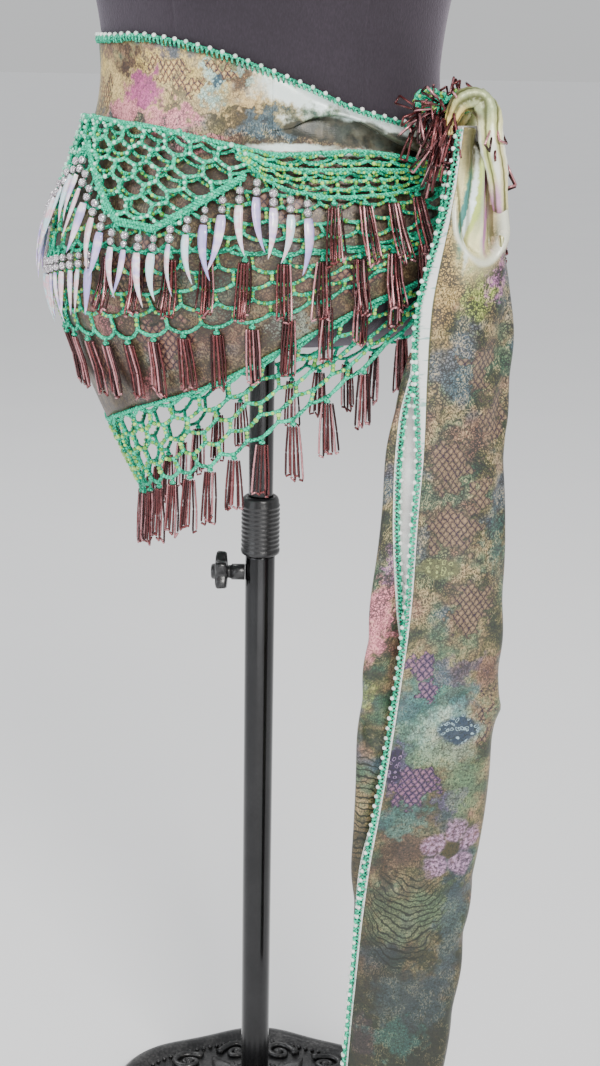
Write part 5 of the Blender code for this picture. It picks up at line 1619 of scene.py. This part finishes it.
# %% Rod, tube, collar and knob
plating = moulded_paint("black_plating", (0.012, 0.012, 0.013), 0.10, 900.0, 0.85, 0.00005, 0.5)
black_plastic = moulded_paint("black_plastic", (0.010, 0.010, 0.011), 0.22, 800.0)
BORE = 0.0097    # of the tube and the collar, with clearance round the rod
rod = ((0.0088, 0.1500), (0.0094, 0.1506), (0.0094, 0.6890), (0.0094, 0.6897))
tube = ((0.0115, 0.0503), (0.0115, 0.0520), (0.0115, 0.5180), (0.0112, 0.5200))
put("rod", [turned(rod)], plating, "form", ["pole_upper"])
put("tube", [turned(tube, bore=BORE)], plating, "stand", ["pole_lower"])
ribs = [(0.0142 + 0.0006 * (i % 4 in (1, 2)), z) for i, z in enumerate(np.linspace(0.526, 0.560, 40))]
collar = [(0.0136, 0.5203), (0.0146, 0.5210), (0.0150, 0.5225), (0.0150, 0.5240), (0.0143, 0.5250),
          *ribs, (0.0140, 0.5630), (0.0132, 0.5650), (0.0120, 0.5660)]
put("collar", [turned(collar, bore=BORE)], black_plastic, "stand", ["pole_collar"])

KNOB = np.array((    # distance out along the clamp's screw, radius
    (0.0000, 0.0060), (0.0004, 0.0063), (0.0100, 0.0062), (0.0106, 0.0052), (0.0130, 0.0050),
    (0.0133, 0.0095), (0.0140, 0.0122), (0.0155, 0.0130), (0.0205, 0.0133),
    (0.0218, 0.0125), (0.0226, 0.0100), (0.0230, 0.0062), (0.0250, 0.0058),
    (0.0258, 0.0050), (0.0260, 0.0040)))
KNOB_SIDES, CLAMP_HEIGHT = 100, 0.505
turn = circle(KNOB_SIDES)
star = 1.0 + 0.20 * np.cos(5 * turn)[None] * (KNOB[:, 1:] > 0.0095)
knob = np.stack([np.broadcast_to(-0.0118 - KNOB[:, :1], star.shape), KNOB[:, 1:] * star * np.cos(turn),
                 CLAMP_HEIGHT + KNOB[:, 1:] * star * np.sin(turn)], -1)
put("star_knob", [(knob, closed_grid(len(KNOB), KNOB_SIDES)[:, ::-1], 0.5)], black_plastic,
    "knob", ["clamp_knob"])

# %% Cast foot with its scrolls
FOOT = np.array((    # radius, height, share of the lobes
    (0.1500, 0.0000, 1.0), (0.1500, 0.0080, 1.0), (0.1478, 0.0125, 1.0), (0.1430, 0.0165, 1.0),
    (0.1370, 0.0178, 0.95), (0.1320, 0.0168, 0.9), (0.1265, 0.0125, 0.7), (0.1200, 0.0112, 0.5),
    (0.0980, 0.0130, 0.2), (0.0700, 0.0210, 0.0), (0.0520, 0.0245, 0.0), (0.0440, 0.0275, 0.0),
    (0.0350, 0.0350, 0.0), (0.0300, 0.0420, 0.0), (0.0265, 0.0470, 0.0), (0.0240, 0.0500, 0.0)))

LOBES, FOOT_SIDES, LOBE_REACH = 8, 240, 0.098    # the last is the radius to a lobe's middle


def lobed(reach, turn, height, share):
    """A point whose radius swings in lobes round the foot."""
    reach = reach * (1.0 - 0.05 * share * (1.0 - np.cos(LOBES * turn)) / 2)
    return np.stack(np.broadcast_arrays(reach * np.cos(turn), reach * np.sin(turn), height), -1)


def foot_point(reach, turn, up):
    """A point on the casting's top, or up above it."""
    radii, heights, shares = FOOT[:0:-1].T
    return lobed(reach, turn, np.interp(reach, radii, heights) + up, np.interp(reach, radii, shares))


def on_foot(tangent, radial, turn, up):
    """A point given by its distances round and out from the middle of a lobe."""
    reach = LOBE_REACH + radial
    return foot_point(reach, turn + tangent / reach, up)


casting = lobed(FOOT[:, :1], circle(FOOT_SIDES), FOOT[:, 1:2], FOOT[:, 2:])
iron_parts = [(casting, closed_grid(len(FOOT), FOOT_SIDES), 0.5)]
lobe_turns = circle(LOBES)[:, None]
phase = np.linspace(0.0, 3.3 * np.pi, 48)[None]
SCROLLS = (    # size, distance aside and out from the lobe's middle, start, thickness
    (0.0165, 0.020, 0.012, 0.2, 0.0036), (0.0115, 0.013, -0.024, 2.0, 0.0028))
LEAVES = ((0.0, 0.0075, 0.058), (0.45, 0.0045, 0.040), (-0.45, 0.0045, 0.040))    # bend, width, length
BEAD_ROWS = ((0.0455, 0.0022, 60), (0.1255, 0.0020, 120))    # radius of the row, of a bead, how many
for hand in (-1.0, 1.0):
    for size, aside, out, start, thick in SCROLLS:
        spiral = size * np.exp(-0.17 * phase)
        x = hand * aside + hand * spiral * np.cos(phase + start)
        y = out + spiral * np.sin(phase + start)
        path = on_foot(x, y, lobe_turns, 0.0012)
        taper = thick * (1.0 - 0.55 * phase / phase.max())
        iron_parts += [tubes(path, taper, 6),
                       beads(path[:, -1] + (0, 0, 0.0005), thick * 0.95, ROUND_BALL)]
leaf = np.linspace(0.0, 1.0, 16)[None]
for bend, wide, length in LEAVES:
    x = bend * 0.030 * leaf**1.5
    path = on_foot(x, -0.048 + length * leaf, lobe_turns + np.pi / LOBES, 0.0015)
    width = wide * np.sin(np.pi * leaf**0.75) ** 0.8 + 0.0006
    iron_parts.append(tubes(path, width, 8, (0.0, 0.0, 1.0), 0.45))
for reach, bead, number in BEAD_ROWS:
    iron_parts.append(beads(foot_point(reach, circle(number), 0.0012), bead))


def iron_paint():
    """Black enamel over sand-cast iron."""
    p = Paint("black_iron", Metallic=0.75, Coat_Weight=0.35, Coat_Roughness=0.2)
    sand, broad = p.noise(420.0, 4.0), p.noise(40.0, 3.0)
    p.feed(Base_Color=p.mix((sand * 0.5 + broad * 0.5).ramp(0.4, 0.75), (0.016, 0.016, 0.017),
                            (0.075, 0.073, 0.072)),
           Roughness=0.26 + broad * 0.2 + sand * 0.1, Normal=p.bump(sand, 0.0007, 0.6))
    return p.material


put("cast_foot", iron_parts, iron_paint(), "stand", ["base"])

# %% [markdown]
# ## Stage and camera
# The stage is a wide pale floor under a pale sky, lit by four broad soft lamps.

# %% Floor, lamps and camera
def pale_paint():
    """A matt floor with hardly any mottle."""
    p = Paint("pale_floor", Roughness=0.8)
    p.feed(Base_Color=p.mix(p.noise(3.0, 2.0), (0.82, 0.82, 0.83), (0.86, 0.86, 0.86)))
    return p.material


reach = np.array((0.0, 0.5, 2.0, 6.0, 20.0, 60.0))[:, None]
turn = circle(64)
points = np.stack(np.broadcast_arrays(reach * np.cos(turn), reach * np.sin(turn), 0.0), -1)
quads = grid_quads(len(reach), len(turn), closed_columns=True)[:, ::-1]
mesh = bpy.data.meshes.new("studio_floor")
mesh.from_pydata(points.reshape(-1, 3).tolist(), [], quads.tolist())
mesh.materials.append(pale_paint())
floor = add("studio_floor", mesh)

LAMPS = (    # name, place, size, watts, colour
    ("key", (0.9, -2.4, 2.3), 1.0, 88.0, (1.0, 0.97, 0.93)),
    ("fill", (-2.2, -1.6, 1.3), 1.8, 32.0, (0.93, 0.96, 1.0)),
    ("rim", (-1.2, 1.6, 2.4), 1.2, 30.0, (1.0, 1.0, 1.0)),
    ("low", (0.2, -2.0, 0.3), 1.4, 10.0, (1.0, 1.0, 1.0)))
AIM = (0.06, 0.0, 0.65)    # where every lamp looks
for name, spot, size, watts, colour in LAMPS:
    lamp = bpy.data.lights.new(name, "AREA")
    lamp.size, lamp.energy, lamp.color = size, watts, colour
    made = add(name, lamp)
    made.location = spot
    x, y, z = np.array(AIM) - spot
    made.rotation_euler = (math.atan2(math.hypot(x, y), -z), 0.0, math.atan2(y, x) - math.pi / 2)
world = bpy.data.worlds.new("studio")
bpy.context.scene.world = world
world.use_nodes = True
sky = world.node_tree
incoming = sky.nodes.new("ShaderNodeTexCoord")
height = sky.nodes.new("ShaderNodeSeparateXYZ")
fade = sky.nodes.new("ShaderNodeValToRGB")
fade.color_ramp.elements[0].color = (0.93, 0.94, 0.95, 1.0)
fade.color_ramp.elements[1].color = (1.30, 1.32, 1.34, 1.0)
sky.links.new(incoming.outputs["Generated"], height.inputs[0])
sky.links.new(height.outputs[2], fade.inputs["Fac"])
sky.links.new(fade.outputs["Color"], sky.nodes["Background"].inputs["Color"])
sky.nodes["Background"].inputs["Strength"].default_value = 0.72

camera = bpy.data.cameras.new("camera")
camera.sensor_width, camera.lens = 36.0, 57.41
camera.clip_start, camera.clip_end = 0.05, 50.0
made = add("camera", camera)
made.location = (0.0303, -1.2527, 0.8961)
pitch, roll = math.radians(16.0), math.radians(1.0)    # it looks down, and is a little tilted
made.rotation_mode = "XYZ"
made.rotation_euler = (Matrix.Rotation(math.radians(90.0) - pitch, 3, "X")
                       @ Matrix.Rotation(roll, 3, "Z")).to_euler("XYZ")
bpy.context.scene.camera = made

# %% Sizes, and the end
drawn = bpy.context.evaluated_depsgraph_get()
counts = {}
for name in PIECES:
    mesh = bpy.data.objects[name].evaluated_get(drawn).data
    counts[name] = sum(len(face.vertices) - 2 for face in mesh.polygons)
largest = max(counts, key=counts.get)
print(len(counts), "pieces, triangles", sum(counts.values()), "most", largest, counts[largest])
